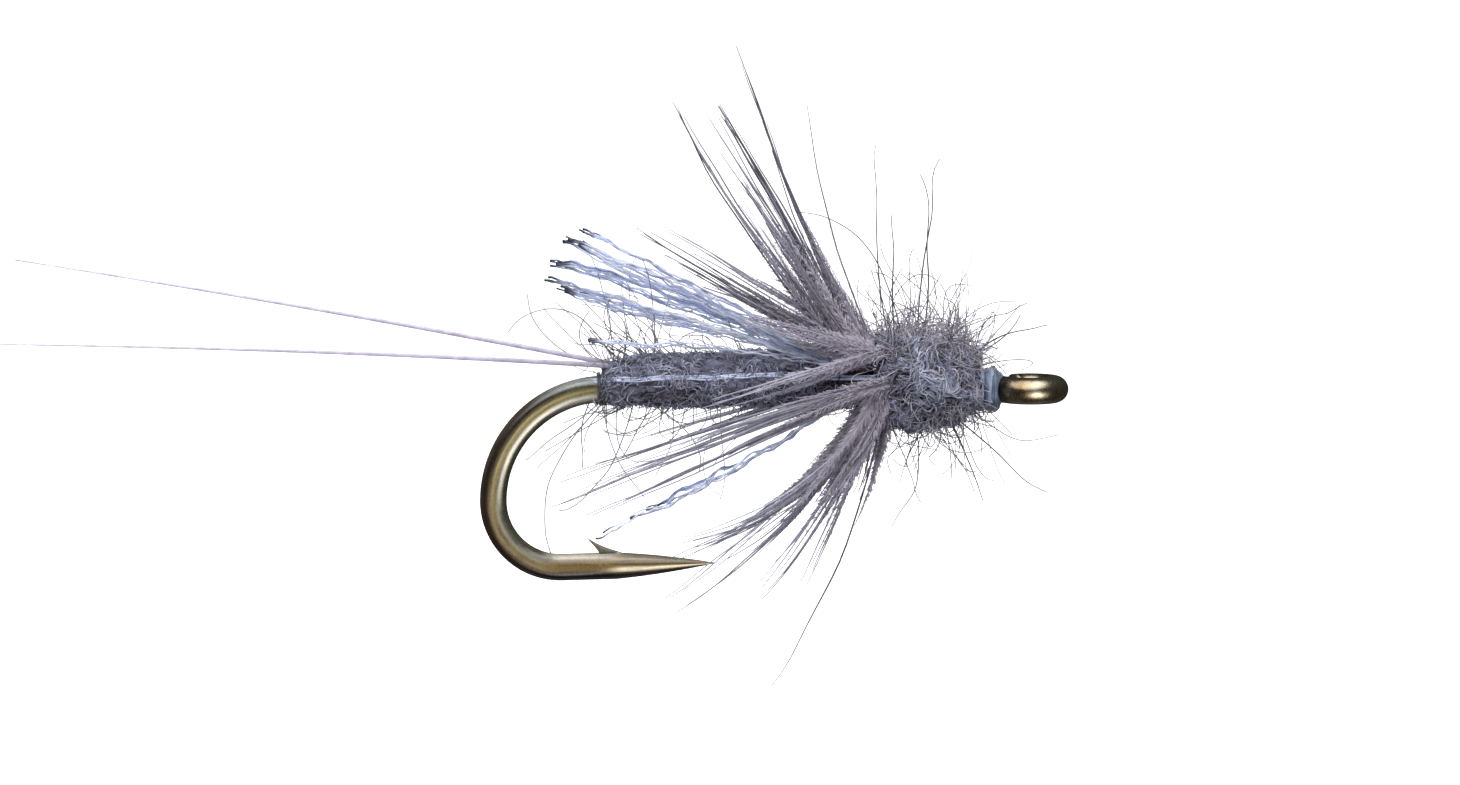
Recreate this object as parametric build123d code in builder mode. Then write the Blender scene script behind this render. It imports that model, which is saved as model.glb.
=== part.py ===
"""A dry fly: feather, fur, yarn and thread tied on a ring-eyed hook. Millimetres.

The origin is the centre of the hook's eye. +X points out of the eye along the shank, +Z points away
from the hook's point, and -Y is the near side. The tails trail towards -X.
"""

from build123d import *
from math import cos, radians, sin, sqrt
import os

# Hook
wire_diameter = 0.45
shank_length = 7.07  # eye centre to the start of the bend
upper_bend_radius = 1.88
lower_bend_radius = 1.11
point_rise = 1.6  # degrees that the point leg climbs towards the shank
point_leg_length = 2.55
point_taper_length = 1.64
point_bulge = 0.025  # how far the ground point swells past a straight cone
tip_radius = 0.008
eye_hole_radius = 0.20
eye_land = 0.12  # length of the smooth land in the eye's hole
eye_seam = 0.03  # gap where the eye's wire closes against the shank
eye_seam_angle = 150
barb_front = 1.68  # along the leg, measured back from the tip
barb_back = 1.93
barb_tip_back = 2.15
barb_height = 0.45  # above the leg's axis
barb_root_height = 0.10
barb_width = 0.16
barb_tip_flat = 0.012
forging_depth = 0.04  # how deep the bend is flattened on each side
forging_length = 1.0  # from the back of the bend, at full depth
forging_runout = 0.9  # further stretch over which the flats fade out

# Thread
thread_layer = 0.03
wrap_gap = 0.005  # clearance between wound layers
lashing_length = 0.85
divider_width = 0.16
divider_height = 0.025

# Tails
tail_butt_radius = 0.045
tail_tip_radius = 0.018
tail_sides = 8
tail_butt_length = 1.15  # lashed down under the abdomen
tail_length = 10.2  # free length behind the abdomen
tail_spacing = 0.06
tail_splay = 9  # degrees to each side, from root to tip
near_tail_climb = 3.2  # degrees above the shank, from root to tip
far_tail_climb = 9.6

# Body
abdomen_back = 7.10  # stations are distances behind the eye's centre
abdomen_front = 3.30
abdomen_floor = 0.29  # under the shank's axis, all along
abdomen_radii = (0.36, 0.41, 0.46, 0.50, 0.36)
abdomen_shares = (0.0, 0.06, 0.36, 0.82, 1.0)  # where along the abdomen each radius is
strand_width = 0.12
strand_thickness = 0.05
thorax_back = 2.62
thorax_front = 0.74
thorax_lift = 0.10  # the fur stands higher above the shank than below it
thorax_back_radius = 0.64
thorax_radius = 0.78
thorax_front_radius = 0.42
thorax_shoulder = 0.70  # from the back of the thorax to where it is thickest
head_front = 0.46
head_radius = 0.37
head_front_radius = 0.27

# Wing yarn
yarn_station = 3.20
yarn_root_height = 0.42
yarn_bow = 0.12  # height of the arch over its own length
yarn_root_width = 0.10
yarn_belly_width = 0.26
yarn_thickness = 0.10
yarn_tip_width = 0.12

# Hackle
quill_diameter = 0.10
quill_turns = 2.5
quill_back = 2.96
lock_root_radius = 0.37  # from the shank's axis to the root of a lock of barbs
lock_root_width = 0.10
lock_belly_width = 0.34
lock_thickness = 0.08
lock_tip_width = 0.03
lock_spread_turn = 0.045  # how far neighbouring locks' roots are staggered along the shank

# Each lock: clock angle round the shank, lean back from square, length and bow. The clock angle is
# 0 at the top and grows towards the near side; a positive bow curls the tips towards the eye.
top_locks = (
    (-24, 36, 4.9, 0.34),
    (-8, 27, 5.5, 0.36),
    (8, 31, 5.2, 0.40),
    (22, 23, 4.4, 0.20),
    (0, 14, 4.0, -0.18),
)
back_locks = (
    (-58, 57, 4.3, 0.10),
    (-38, 47, 4.5, 0.12),
    (40, 48, 4.6, 0.12),
    (58, 58, 4.3, 0.10),
)
near_locks = (
    (70, 66, 4.4, 0.16),
    (94, 64, 4.8, 0.20),
    (116, 60, 5.2, 0.22),
    (138, 56, 4.7, 0.18),
)
far_locks = (
    (-68, 64, 4.5, 0.16),
    (-92, 66, 4.7, 0.20),
    (-115, 59, 5.0, 0.22),
    (-139, 57, 4.6, 0.18),
)
throat_locks = (
    (156, 44, 4.6, -0.24),
    (168, 32, 4.9, -0.30),
    (182, 22, 5.3, -0.34),
    (193, 37, 4.4, -0.26),
    (206, 47, 4.8, -0.22),
)
# Each length of yarn: sideways angle towards the near side, climb above the shank, and length.
upper_yarn_near = ((12, 14, 5.0), (8, 20, 5.1), (4, 25, 5.1))
upper_yarn_far = ((-4, 23, 5.2), (-8, 18, 5.1), (-12, 13, 4.9))
lower_yarn = ((14, -24, 4.3), (9, -29, 4.4), (-12, -27, 4.2))

# Sizes that follow from those above
wire_radius = wire_diameter / 2
eye_mean_radius = eye_hole_radius + sqrt(wire_radius**2 - (eye_land / 2) ** 2)
eye_back = eye_mean_radius + wire_radius
underbody_radius = wire_radius + wrap_gap + thread_layer
core_radius = underbody_radius + wrap_gap
abdomen_length = abdomen_back - abdomen_front
tail_height = core_radius + tail_butt_radius
quill_radius = quill_diameter / 2
coil_radius = core_radius + quill_radius
coil_pitch = quill_diameter + wrap_gap
lashing_radius = core_radius + 2 * thread_layer

nodes = {}


def keep(name, builder):
    """Labels a finished sub-part and remembers it for writing."""
    builder.part.label = name
    nodes[name] = builder.part


def across(distance_behind_eye):
    """The plane square to the shank at a station, with its normal along +X."""
    return Plane.YZ.offset(-distance_behind_eye)


def section_plane(spine, share, across_direction):
    """The plane square to a spine at a share of its length, with its x direction given."""
    return Plane(origin=spine @ share, x_dir=across_direction, z_dir=spine % share)


def flat_lens(width, thickness):
    """The corners of a slender six-sided outline, pointed at both ends of its width."""
    quarter = width / 4
    half = thickness / 2
    return (
        (width / 2, 0),
        (quarter, half),
        (-quarter, half),
        (-width / 2, 0),
        (-quarter, -half),
        (quarter, -half),
    )


def side_direction(clock):
    """The unit vector square to the shank at a clock angle."""
    return Vector(0, -sin(radians(clock)), cos(radians(clock)))


# ---------------------------------------------------------------- hook
with BuildPart() as hook_wire:
    with BuildLine(Plane.XZ) as hook_path:
        shank = Line((-eye_mean_radius, 0), (-shank_length, 0))
        upper_bend = JernArc(shank @ 1, shank % 1, upper_bend_radius, 90)
        lower_bend = JernArc(upper_bend @ 1, upper_bend % 1, lower_bend_radius, 90 + point_rise)
        leg = Line(lower_bend @ 1, lower_bend @ 1 + (lower_bend % 1) * (point_leg_length - point_taper_length))
    with BuildSketch(Plane.YZ.offset(-eye_mean_radius)):
        Circle(wire_radius)
    sweep(path=hook_path.line)
    # the ground point, turned about the leg's own axis
    point_plane = Plane(origin=leg @ 1, x_dir=leg % 1, z_dir=(0, -1, 0))
    with BuildSketch(point_plane):
        with BuildLine():
            Spline(
                (0, wire_radius),
                (point_taper_length / 2, (wire_radius + tip_radius) / 2 + point_bulge),
                (point_taper_length, tip_radius),
            )
            Polyline((point_taper_length, tip_radius), (point_taper_length, 0), (0, 0), (0, wire_radius))
        make_face()
    revolve(axis=Axis(point_plane.origin, point_plane.x_dir))
    # the barb, raised from the leg and leaning back towards the bend
    tip_plane = Plane(
        origin=point_plane.origin + point_plane.x_dir * point_taper_length,
        x_dir=point_plane.x_dir,
        z_dir=(0, -1, 0),
    )
    with BuildSketch(tip_plane):
        with BuildLine():
            Line((-barb_front, barb_root_height), (-barb_front, wire_radius * 0.9))
            ThreePointArc(
                (-barb_front, wire_radius * 0.9),
                (-(barb_front + barb_tip_back) / 2, (wire_radius + barb_height) / 2 - barb_tip_flat),
                (-barb_tip_back, barb_height),
            )
            Line((-barb_tip_back, barb_height), (-barb_tip_back, barb_height - barb_tip_flat))
            ThreePointArc(
                (-barb_tip_back, barb_height - barb_tip_flat),
                (-(barb_back + barb_tip_back) / 2 + barb_tip_flat, (wire_radius + barb_height) / 2),
                (-barb_back, barb_root_height),
            )
            Line((-barb_back, barb_root_height), (-barb_front, barb_root_height))
        make_face()
    extrude(amount=barb_width / 2, both=True)
    # the ring eye, with its land and the seam where the wire closes
    Torus(eye_mean_radius, wire_radius)
    Cylinder(eye_hole_radius, wire_diameter, mode=Mode.SUBTRACT)
    with PolarLocations(eye_mean_radius, 1, start_angle=eye_seam_angle):
        Box(wire_diameter * 1.2, eye_seam, wire_diameter * 1.2, mode=Mode.SUBTRACT)
    # the forged flats on both sides of the bend
    bend_back = shank_length + upper_bend_radius + wire_diameter
    flat_end = -bend_back + wire_diameter + forging_length
    with BuildSketch(Plane.XY.offset(wire_diameter)):
        with BuildLine():
            Polyline(
                (-bend_back, wire_radius - forging_depth),
                (flat_end, wire_radius - forging_depth),
                (flat_end + forging_runout, wire_radius),
                (flat_end + forging_runout, wire_diameter),
                (-bend_back, wire_diameter),
                (-bend_back, wire_radius - forging_depth),
            )
        make_face()
        mirror(about=Plane.XZ)
    extrude(amount=-2 * wire_diameter - upper_bend_radius - lower_bend_radius, mode=Mode.SUBTRACT)
keep("hook_wire", hook_wire)

# ---------------------------------------------------------------- thread on the bare shank
underbody_front = eye_back + wrap_gap
with BuildPart() as thread_underbody:
    with BuildSketch(across(abdomen_back)):
        Circle(underbody_radius)
        Circle(wire_radius + wrap_gap, mode=Mode.SUBTRACT)
    extrude(amount=abdomen_back - underbody_front)
keep("thread_underbody", thread_underbody)

with BuildPart() as tail_divider:
    bead_inner = wire_radius + 2 * wrap_gap
    with BuildSketch(Plane.XZ):
        with BuildLine():
            Polyline(
                (-abdomen_back - wrap_gap, bead_inner),
                (-abdomen_back - divider_width / 3, bead_inner + divider_height),
                (-abdomen_back - divider_width * 2 / 3, bead_inner + divider_height),
                (-abdomen_back - divider_width, bead_inner),
                (-abdomen_back - wrap_gap, bead_inner),
            )
        make_face()
    revolve(axis=Axis.X)
keep("tail_divider", tail_divider)


# ---------------------------------------------------------------- tails
def tail(side, climb):
    """One tapered tail: a straight lashed butt, then a long free sweep. side is -1 near and 1 far."""
    root = Vector(-abdomen_back, side * tail_spacing, tail_height)
    outward = Vector(-cos(radians(tail_splay)), side * sin(radians(tail_splay)), 0)
    tip = root + (outward * cos(radians(climb)) + Vector(0, 0, sin(radians(climb)))) * tail_length
    with BuildPart() as made:
        with BuildSketch(Plane(origin=root, x_dir=(0, 1, 0), z_dir=(1, 0, 0))):
            RegularPolygon(tail_butt_radius, tail_sides)
        extrude(amount=tail_butt_length)
        with BuildLine(mode=Mode.PRIVATE) as sweep_line:
            TangentArc(root, tip, tangent=(-1, 0, 0))
        for share in (0, 0.2, 0.4, 0.6, 0.8, 1):
            with BuildSketch(section_plane(sweep_line.line, share, (0, 1, 0))):
                RegularPolygon(tail_butt_radius + (tail_tip_radius - tail_butt_radius) * share, tail_sides)
        loft(ruled=True)
    return made


tail_fibre_near = tail(-1, near_tail_climb)
keep("tail_fibre_near", tail_fibre_near)
tail_fibre_far = tail(1, far_tail_climb)
keep("tail_fibre_far", tail_fibre_far)


def tail_bundle_outline(grow):
    """Adds the outline round the wound shank and both tail butts, grown by an amount, to a sketch."""
    with BuildSketch(mode=Mode.PRIVATE) as bundle:
        Circle(core_radius)
        with Locations((-tail_spacing, tail_height), (tail_spacing, tail_height)):
            Circle(tail_butt_radius + wrap_gap)
        make_hull()
        if grow:
            offset(amount=grow)
    return bundle.sketch


with BuildPart() as tail_lashing:
    with BuildSketch(across(abdomen_back - wrap_gap)):
        add(tail_bundle_outline(thread_layer))
        add(tail_bundle_outline(0), mode=Mode.SUBTRACT)
    extrude(amount=lashing_length)
keep("tail_lashing", tail_lashing)

# ---------------------------------------------------------------- abdomen
stations = [abdomen_back - share * abdomen_length for share in abdomen_shares]
with BuildPart() as abdomen_dubbing:
    for station, radius in zip(stations, abdomen_radii):
        with BuildSketch(across(station)):
            with Locations((0, radius - abdomen_floor)):
                Circle(radius)
    loft()
    with BuildSketch(across(abdomen_back)):
        add(tail_bundle_outline(thread_layer + wrap_gap))
    extrude(amount=tail_butt_length + wrap_gap, mode=Mode.SUBTRACT)
    with BuildSketch(across(abdomen_back)):
        Circle(core_radius)
    extrude(amount=abdomen_length, mode=Mode.SUBTRACT)
keep("abdomen_dubbing", abdomen_dubbing)


def side_strand(side):
    """A flat strand of yarn lying along one side of the abdomen."""
    offset_out = strand_thickness / 2 + 3 * wrap_gap
    points = [
        Vector(-station, side * (radius + offset_out), radius - abdomen_floor)
        for station, radius in zip(stations, abdomen_radii)
    ]
    with BuildPart() as made:
        with BuildLine(mode=Mode.PRIVATE) as route:
            Spline(*points)
        for share in (0, 0.1, 0.2, 0.4, 0.6, 0.75, 0.9, 1):
            with BuildSketch(section_plane(route.line, share, (0, 0, 1))):
                Polygon(*flat_lens(strand_width, strand_thickness))
        loft(ruled=True)
    return made


side_strand_near = side_strand(-1)
keep("side_strand_near", side_strand_near)
side_strand_far = side_strand(1)
keep("side_strand_far", side_strand_far)


# ---------------------------------------------------------------- wing yarn
def yarn_lengths(lengths, level, side):
    """Lengths of yarn fanned from the wing lashing. level is 1 above the shank and -1 below it, and
    side is -1 for a bundle on the near half, 1 on the far half and 0 across both."""
    root_pitch = yarn_root_width + wrap_gap
    with BuildPart() as made:
        for place, (sideways, climb, length) in enumerate(lengths):
            across_root = (place - (len(lengths) - 1) / 2) * root_pitch
            middle = side * len(lengths) * root_pitch / 2
            root = Vector(-yarn_station, middle + across_root, level * yarn_root_height)
            flat = Vector(-cos(radians(sideways)), -sin(radians(sideways)), 0)
            tip = root + (flat * cos(radians(climb)) + Vector(0, 0, sin(radians(climb)))) * length
            with BuildLine(mode=Mode.PRIVATE) as route:
                ThreePointArc(root, (root + tip) / 2 + Vector(0, 0, level * yarn_bow * length), tip)
            sections = (
                (0, yarn_root_width * 0.9, yarn_thickness),
                (0.25, (yarn_root_width + yarn_belly_width) / 2, yarn_thickness),
                (0.5, yarn_belly_width, yarn_thickness),
                (0.75, yarn_belly_width, yarn_thickness),
                (1, yarn_tip_width, yarn_thickness * 0.6),
            )
            for share, width, thickness in sections:
                with BuildSketch(section_plane(route.line, share, (0, 1, 0))):
                    Polygon(*flat_lens(width, thickness))
            loft(ruled=True)
    return made


wing_yarn_near = yarn_lengths(upper_yarn_near, 1, -1)
keep("wing_yarn_near", wing_yarn_near)
wing_yarn_far = yarn_lengths(upper_yarn_far, 1, 1)
keep("wing_yarn_far", wing_yarn_far)
wing_yarn_lower = yarn_lengths(lower_yarn, -1, 0)
keep("wing_yarn_lower", wing_yarn_lower)

# ---------------------------------------------------------------- lashing that holds yarn and hackle
with BuildPart() as wing_lashing:
    with BuildSketch(across(abdomen_front - wrap_gap)):
        Circle(lashing_radius)
        Circle(core_radius, mode=Mode.SUBTRACT)
    extrude(amount=abdomen_front - wrap_gap - quill_back)
keep("wing_lashing", wing_lashing)

with BuildPart() as hackle_quill:
    with BuildLine():
        coil_start = (-quill_back + quill_radius + wrap_gap, 0, 0)
        coil = Helix(coil_pitch, coil_pitch * quill_turns, coil_radius, coil_start, direction=(1, 0, 0))
    with BuildSketch(Plane(origin=coil @ 0, z_dir=coil % 0)):
        Circle(quill_radius)
    sweep(path=coil, is_frenet=True)
keep("hackle_quill", hackle_quill)


# ---------------------------------------------------------------- hackle
def locks(table):
    """Locks of barbs, each a slender lens on a bowed spine, as separate solids of one node."""
    with BuildPart() as made:
        for place, (clock, lean, length, bow) in enumerate(table):
            out = side_direction(clock)
            stagger = (place % 3) * lock_spread_turn
            root = Vector(-quill_back + quill_radius + stagger, 0, 0) + out * lock_root_radius
            direction = out * cos(radians(lean)) + Vector(-sin(radians(lean)), 0, 0)
            tip = root + direction * length
            forward = Vector(cos(radians(lean)), 0, 0) + out * sin(radians(lean))
            middle = (root + tip) / 2 - forward * bow
            with BuildLine(mode=Mode.PRIVATE) as route:
                ThreePointArc(root, middle, tip)
            sections = (
                (0, lock_root_width, lock_thickness),
                (0.2, lock_belly_width * 0.75, lock_thickness),
                (0.4, lock_belly_width, lock_thickness),
                (0.7, lock_belly_width * 0.7, lock_thickness * 0.8),
                (1, lock_tip_width, lock_tip_width),
            )
            for share, width, thickness in sections:
                with BuildSketch(section_plane(route.line, share, out.cross(Vector(1, 0, 0)))):
                    Polygon(*flat_lens(width, thickness))
            loft(ruled=True)
    return made


hackle_barbs_top = locks(top_locks)
keep("hackle_barbs_top", hackle_barbs_top)
hackle_barbs_back = locks(back_locks)
keep("hackle_barbs_back", hackle_barbs_back)
hackle_barbs_near = locks(near_locks)
keep("hackle_barbs_near", hackle_barbs_near)
hackle_barbs_far = locks(far_locks)
keep("hackle_barbs_far", hackle_barbs_far)
hackle_barbs_throat = locks(throat_locks)
keep("hackle_barbs_throat", hackle_barbs_throat)

# ---------------------------------------------------------------- thorax and head
with BuildPart() as thorax_dubbing:
    with BuildSketch(Plane.XZ.shift_origin((0, 0, thorax_lift))):
        with BuildLine():
            ThreePointArc(
                (-thorax_back, thorax_back_radius),
                (-thorax_back + thorax_shoulder, thorax_radius),
                (-thorax_front, thorax_front_radius),
            )
            Polyline(
                (-thorax_front, thorax_front_radius),
                (-thorax_front, 0),
                (-thorax_back, 0),
                (-thorax_back, thorax_back_radius),
            )
        make_face()
    revolve(axis=Axis((0, 0, thorax_lift), (1, 0, 0)))
    with BuildSketch(across(thorax_back)):
        Circle(core_radius)
    extrude(amount=thorax_back - thorax_front, mode=Mode.SUBTRACT)
keep("thorax_dubbing", thorax_dubbing)

with BuildPart() as thread_head:
    with BuildSketch(Plane.XZ):
        with BuildLine():
            ThreePointArc(
                (-thorax_front + wrap_gap, head_radius * 0.9),
                (-(thorax_front + head_front) / 2, head_radius),
                (-head_front, head_front_radius),
            )
            Polyline(
                (-head_front, head_front_radius),
                (-head_front, 0),
                (-thorax_front + wrap_gap, 0),
                (-thorax_front + wrap_gap, head_radius * 0.9),
            )
        make_face()
    revolve(axis=Axis.X)
    # the wraps close round the shank, the eye's shoulders and the front of the underbody
    add(hook_wire.part, mode=Mode.SUBTRACT)
    with BuildSketch(across(thorax_front)):
        Circle(core_radius)
    extrude(amount=thorax_front - underbody_front + wrap_gap, mode=Mode.SUBTRACT)
keep("thread_head", thread_head)

# ---------------------------------------------------------------- write
os.makedirs("parts", exist_ok=True)
for name, part in nodes.items():
    export_step(part, f"parts/{name}.step")
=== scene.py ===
"""A dry fly dressed on its packed hook: bronzed wire, wound thread, fur, yarn, strand and feather."""

from math import atan2, cos, degrees, pi, radians, sin, sqrt
import random

import bmesh
import bpy
from mathutils import Matrix, Quaternion, Vector, noise


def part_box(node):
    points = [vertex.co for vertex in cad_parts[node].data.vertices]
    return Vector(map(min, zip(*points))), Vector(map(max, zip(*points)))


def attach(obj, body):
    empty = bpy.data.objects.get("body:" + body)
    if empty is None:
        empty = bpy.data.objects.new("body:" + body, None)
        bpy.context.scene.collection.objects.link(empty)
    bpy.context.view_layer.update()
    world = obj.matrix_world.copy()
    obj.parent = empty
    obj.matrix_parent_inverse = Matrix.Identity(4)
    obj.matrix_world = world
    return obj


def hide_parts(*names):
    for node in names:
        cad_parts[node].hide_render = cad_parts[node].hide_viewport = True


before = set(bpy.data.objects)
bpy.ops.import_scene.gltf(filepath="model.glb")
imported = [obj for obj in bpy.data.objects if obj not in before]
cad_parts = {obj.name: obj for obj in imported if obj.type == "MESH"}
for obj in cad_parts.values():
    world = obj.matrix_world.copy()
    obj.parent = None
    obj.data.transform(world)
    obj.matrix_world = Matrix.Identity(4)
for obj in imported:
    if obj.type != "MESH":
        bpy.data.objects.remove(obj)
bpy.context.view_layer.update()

# Everything is drawn in millimetres and brought to metres when a piece is finished.
MM = 0.001

# The noise vectors otherwise start from the clock, and no two runs would give the same fibres.
noise.seed_set(1)


def box_mm(node):
    """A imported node's lowest and highest corner, in millimetres."""
    low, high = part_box(node)
    return Vector(low) / MM, Vector(high) / MM


# ---------------------------------------------------------------- sizes taken from the frame
hook_low, hook_high = box_mm("hook_wire")
wire = hook_high.z  # radius of the hook's wire
eye_ring = hook_high.x - wire  # mean radius of the ring eye
abdomen_low, abdomen_high = box_mm("abdomen_dubbing")
thorax_low, thorax_high = box_mm("thorax_dubbing")
head_low, head_high = box_mm("thread_head")
quill_low, quill_high = box_mm("hackle_quill")
near_tail_low, near_tail_high = box_mm("tail_fibre_near")
far_tail_low, far_tail_high = box_mm("tail_fibre_far")

# Sizes that the dresser of the fly chooses
bend_radius = 1.88  # upper half of the bend, on the wire's centre line
lower_bend_radius = 1.11
shank_end = hook_low.x + wire + bend_radius  # where the shank turns into the bend
bend_turn = 91.6  # degrees that the lower half turns through
leg_length = 0.91  # full wire between the bend and the ground point
point_length = 1.64
point_bulge = 0.025
tip_radius = 0.008
forging_depth = 0.04
barb_width = 0.16
# The barb's outline: distance back from the point's tip, and height over the middle of the leg
barb_outline = (
    (1.38, 0.14),
    (1.55, 0.215),
    (1.71, 0.27),
    (1.86, 0.33),
    (1.98, 0.395),
    (2.08, 0.46),
    (2.145, 0.515),
    (2.06, 0.41),
    (1.985, 0.325),
    (1.93, 0.25),
    (1.90, 0.14),
)


# ---------------------------------------------------------------- materials
FULL = (1, 1, 1, 1)  # white in linear light


def linear(red, green, blue):
    """A colour given in 0 to 255 screen values, as linear light with alpha."""
    values = []
    for part in (red, green, blue):
        share = part / 255
        values.append(share / 12.92 if share <= 0.04045 else ((share + 0.055) / 1.055) ** 2.4)
    return (*values, 1.0)


def new_material(name, roughness):
    """A material with its shader, ready for colour."""
    material = bpy.data.materials.new(name)
    material.use_nodes = True
    shader = material.node_tree.nodes["Principled BSDF"]
    shader.inputs["Roughness"].default_value = roughness
    return material, material.node_tree, shader


def ramped(tree, value, stops):
    """The colour that a value finds in a ramp of (position, colour) stops."""
    ramp = tree.nodes.new("ShaderNodeValToRGB")
    elements = ramp.color_ramp.elements
    elements[0].position, elements[0].color = stops[0]
    elements[1].position, elements[1].color = stops[-1]
    for position, colour in stops[1:-1]:
        elements.new(position).color = colour
    tree.links.new(value, ramp.inputs["Fac"])
    return ramp.outputs["Color"]


def painted(tree, value, *stops):
    """The same as ramped, for stops whose colours are screen values from 0 to 255."""
    return ramped(tree, value, [(place, linear(*colour)) for place, colour in stops])


def remapped(tree, value, start=0.0, end=1.0, low=0.0, high=1.0):
    """A value carried from the range start to end over to the range low to high."""
    node = tree.nodes.new("ShaderNodeMapRange")
    numbers = {"From Min": start, "From Max": end, "To Min": low, "To Max": high}
    for socket, number in numbers.items():
        node.inputs[socket].default_value = number
    tree.links.new(value, node.inputs["Value"])
    return node.outputs["Result"]


def attribute_node(tree, name):
    """The value that each point of a piece carries under this name."""
    node = tree.nodes.new("ShaderNodeAttribute")
    node.attribute_name = name
    return node.outputs["Fac"]


def noise_node(tree, scale, detail=3.0, roughness=0.55, stretch=(1, 1, 1)):
    """Noise fixed to the piece, with its scale in features per millimetre."""
    place = tree.nodes.new("ShaderNodeTexCoord")
    mapping = tree.nodes.new("ShaderNodeMapping")
    mapping.inputs["Scale"].default_value = [s / MM for s in stretch]
    texture = tree.nodes.new("ShaderNodeTexNoise")
    texture.inputs["Scale"].default_value = scale
    texture.inputs["Detail"].default_value = detail
    texture.inputs["Roughness"].default_value = roughness
    tree.links.new(place.outputs["Object"], mapping.inputs["Vector"])
    tree.links.new(mapping.outputs["Vector"], texture.inputs["Vector"])
    return texture.outputs["Fac"]


def mixed(tree, share, first, second, blend="MIX"):
    """A colour mixed from two outputs by a share, which is an output or a number."""
    mix = tree.nodes.new("ShaderNodeMix")
    mix.data_type = "RGBA"
    mix.blend_type = blend
    if isinstance(share, float):
        mix.inputs["Factor"].default_value = share
    else:
        tree.links.new(share, mix.inputs["Factor"])
    tree.links.new(first, mix.inputs["A"])
    tree.links.new(second, mix.inputs["B"])
    return mix.outputs["Result"]


def bump_node(tree, height, distance):
    """A bump from a height output, with its depth in millimetres."""
    bump = tree.nodes.new("ShaderNodeBump")
    bump.inputs["Strength"].default_value = 1.0
    bump.inputs["Distance"].default_value = distance * MM
    tree.links.new(height, bump.inputs["Height"])
    return bump.outputs["Normal"]


def fibre_material(name, tones, along, roughness=0.5, sheen=0.0, weight=0.0, through=0.0):
    """A material for loose fibres. tones are the colours from the darkest fibre to the palest, and
    along is a ramp of greys from root to tip that they are multiplied by. through is the share of
    light that passes the fibre."""
    material, tree, shader = new_material(name, roughness)
    steps = [(i / (len(tones) - 1), colour) for i, colour in enumerate(tones)]
    tone = painted(tree, attribute_node(tree, "tone"), *steps)
    run = painted(tree, attribute_node(tree, "along"), *along)
    colour = mixed(tree, 1.0, tone, run, "MULTIPLY")
    mottled = ramped(tree, noise_node(tree, 6.0), ((0.3, (0.72, 0.72, 0.74, 1)), (0.7, FULL)))
    colour = mixed(tree, 1.0, colour, mottled, "MULTIPLY")
    tree.links.new(colour, shader.inputs["Base Color"])
    shader.inputs["Sheen Weight"].default_value = sheen
    shader.inputs["Specular IOR Level"].default_value = weight
    if through:
        glow = tree.nodes.new("ShaderNodeBsdfTranslucent")
        tree.links.new(colour, glow.inputs["Color"])
        blend = tree.nodes.new("ShaderNodeMixShader")
        blend.inputs["Fac"].default_value = through
        tree.links.new(shader.outputs["BSDF"], blend.inputs[1])
        tree.links.new(glow.outputs["BSDF"], blend.inputs[2])
        tree.links.new(blend.outputs["Shader"], tree.nodes["Material Output"].inputs["Surface"])
    return material


# The wire's colours from the inside of the bend 0 to its outside 1, at five places along it: bronze with
# painted reflections, dark where the wire would mirror a dim room, gold on the flats, and pale painted
# highlights along the inner corner, the top of the bend and the ground point
wire_colours_and_reflections = (
    # the top of the bend, where the shank turns down
    (
        (0.0, (84, 82, 70)), (0.10, (100, 98, 92)), (0.18, (160, 158, 150)), (0.27, (182, 182, 178)),
        (0.35, (126, 126, 104)), (0.43, (100, 94, 58)), (0.50, (140, 130, 90)), (0.58, (110, 102, 70)),
        (0.66, (64, 64, 44)), (0.74, (84, 88, 82)), (0.84, (122, 128, 132)), (1.0, (140, 146, 150)),
    ),
    # the shoulder of the bend
    (
        (0.0, (66, 64, 52)), (0.10, (70, 68, 54)), (0.16, (104, 102, 92)), (0.23, (238, 234, 226)),
        (0.29, (214, 210, 196)), (0.37, (116, 108, 78)), (0.45, (132, 122, 78)), (0.53, (160, 150, 108)),
        (0.60, (92, 84, 56)), (0.68, (40, 32, 18)), (0.80, (34, 26, 18)), (1.0, (66, 60, 54)),
    ),
    # the back of the bend
    (
        (0.0, (62, 62, 48)), (0.12, (56, 58, 44)), (0.20, (75, 76, 68)), (0.30, (116, 114, 104)),
        (0.36, (132, 130, 112)), (0.44, (110, 102, 72)), (0.50, (112, 98, 62)), (0.58, (126, 114, 84)),
        (0.66, (106, 90, 66)), (0.73, (62, 48, 34)), (0.82, (40, 28, 22)), (1.0, (58, 48, 44)),
    ),
    # the leg
    (
        (0.0, (146, 145, 142)), (0.12, (158, 156, 150)), (0.20, (112, 104, 88)), (0.30, (98, 84, 56)),
        (0.42, (124, 102, 58)), (0.54, (104, 84, 46)), (0.62, (112, 96, 68)), (0.70, (66, 54, 36)),
        (0.77, (16, 11, 7)), (0.88, (3, 2, 1)), (1.0, (24, 22, 20)),
    ),
    # the ground point
    (
        (0.0, (92, 89, 80)), (0.15, (118, 112, 98)), (0.26, (108, 98, 76)), (0.35, (86, 72, 44)),
        (0.42, (76, 60, 26)), (0.49, (146, 132, 100)), (0.57, (222, 212, 188)), (0.65, (184, 172, 144)),
        (0.73, (94, 82, 56)), (0.80, (36, 30, 14)), (1.0, (28, 24, 18)),
    ),
)


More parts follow.
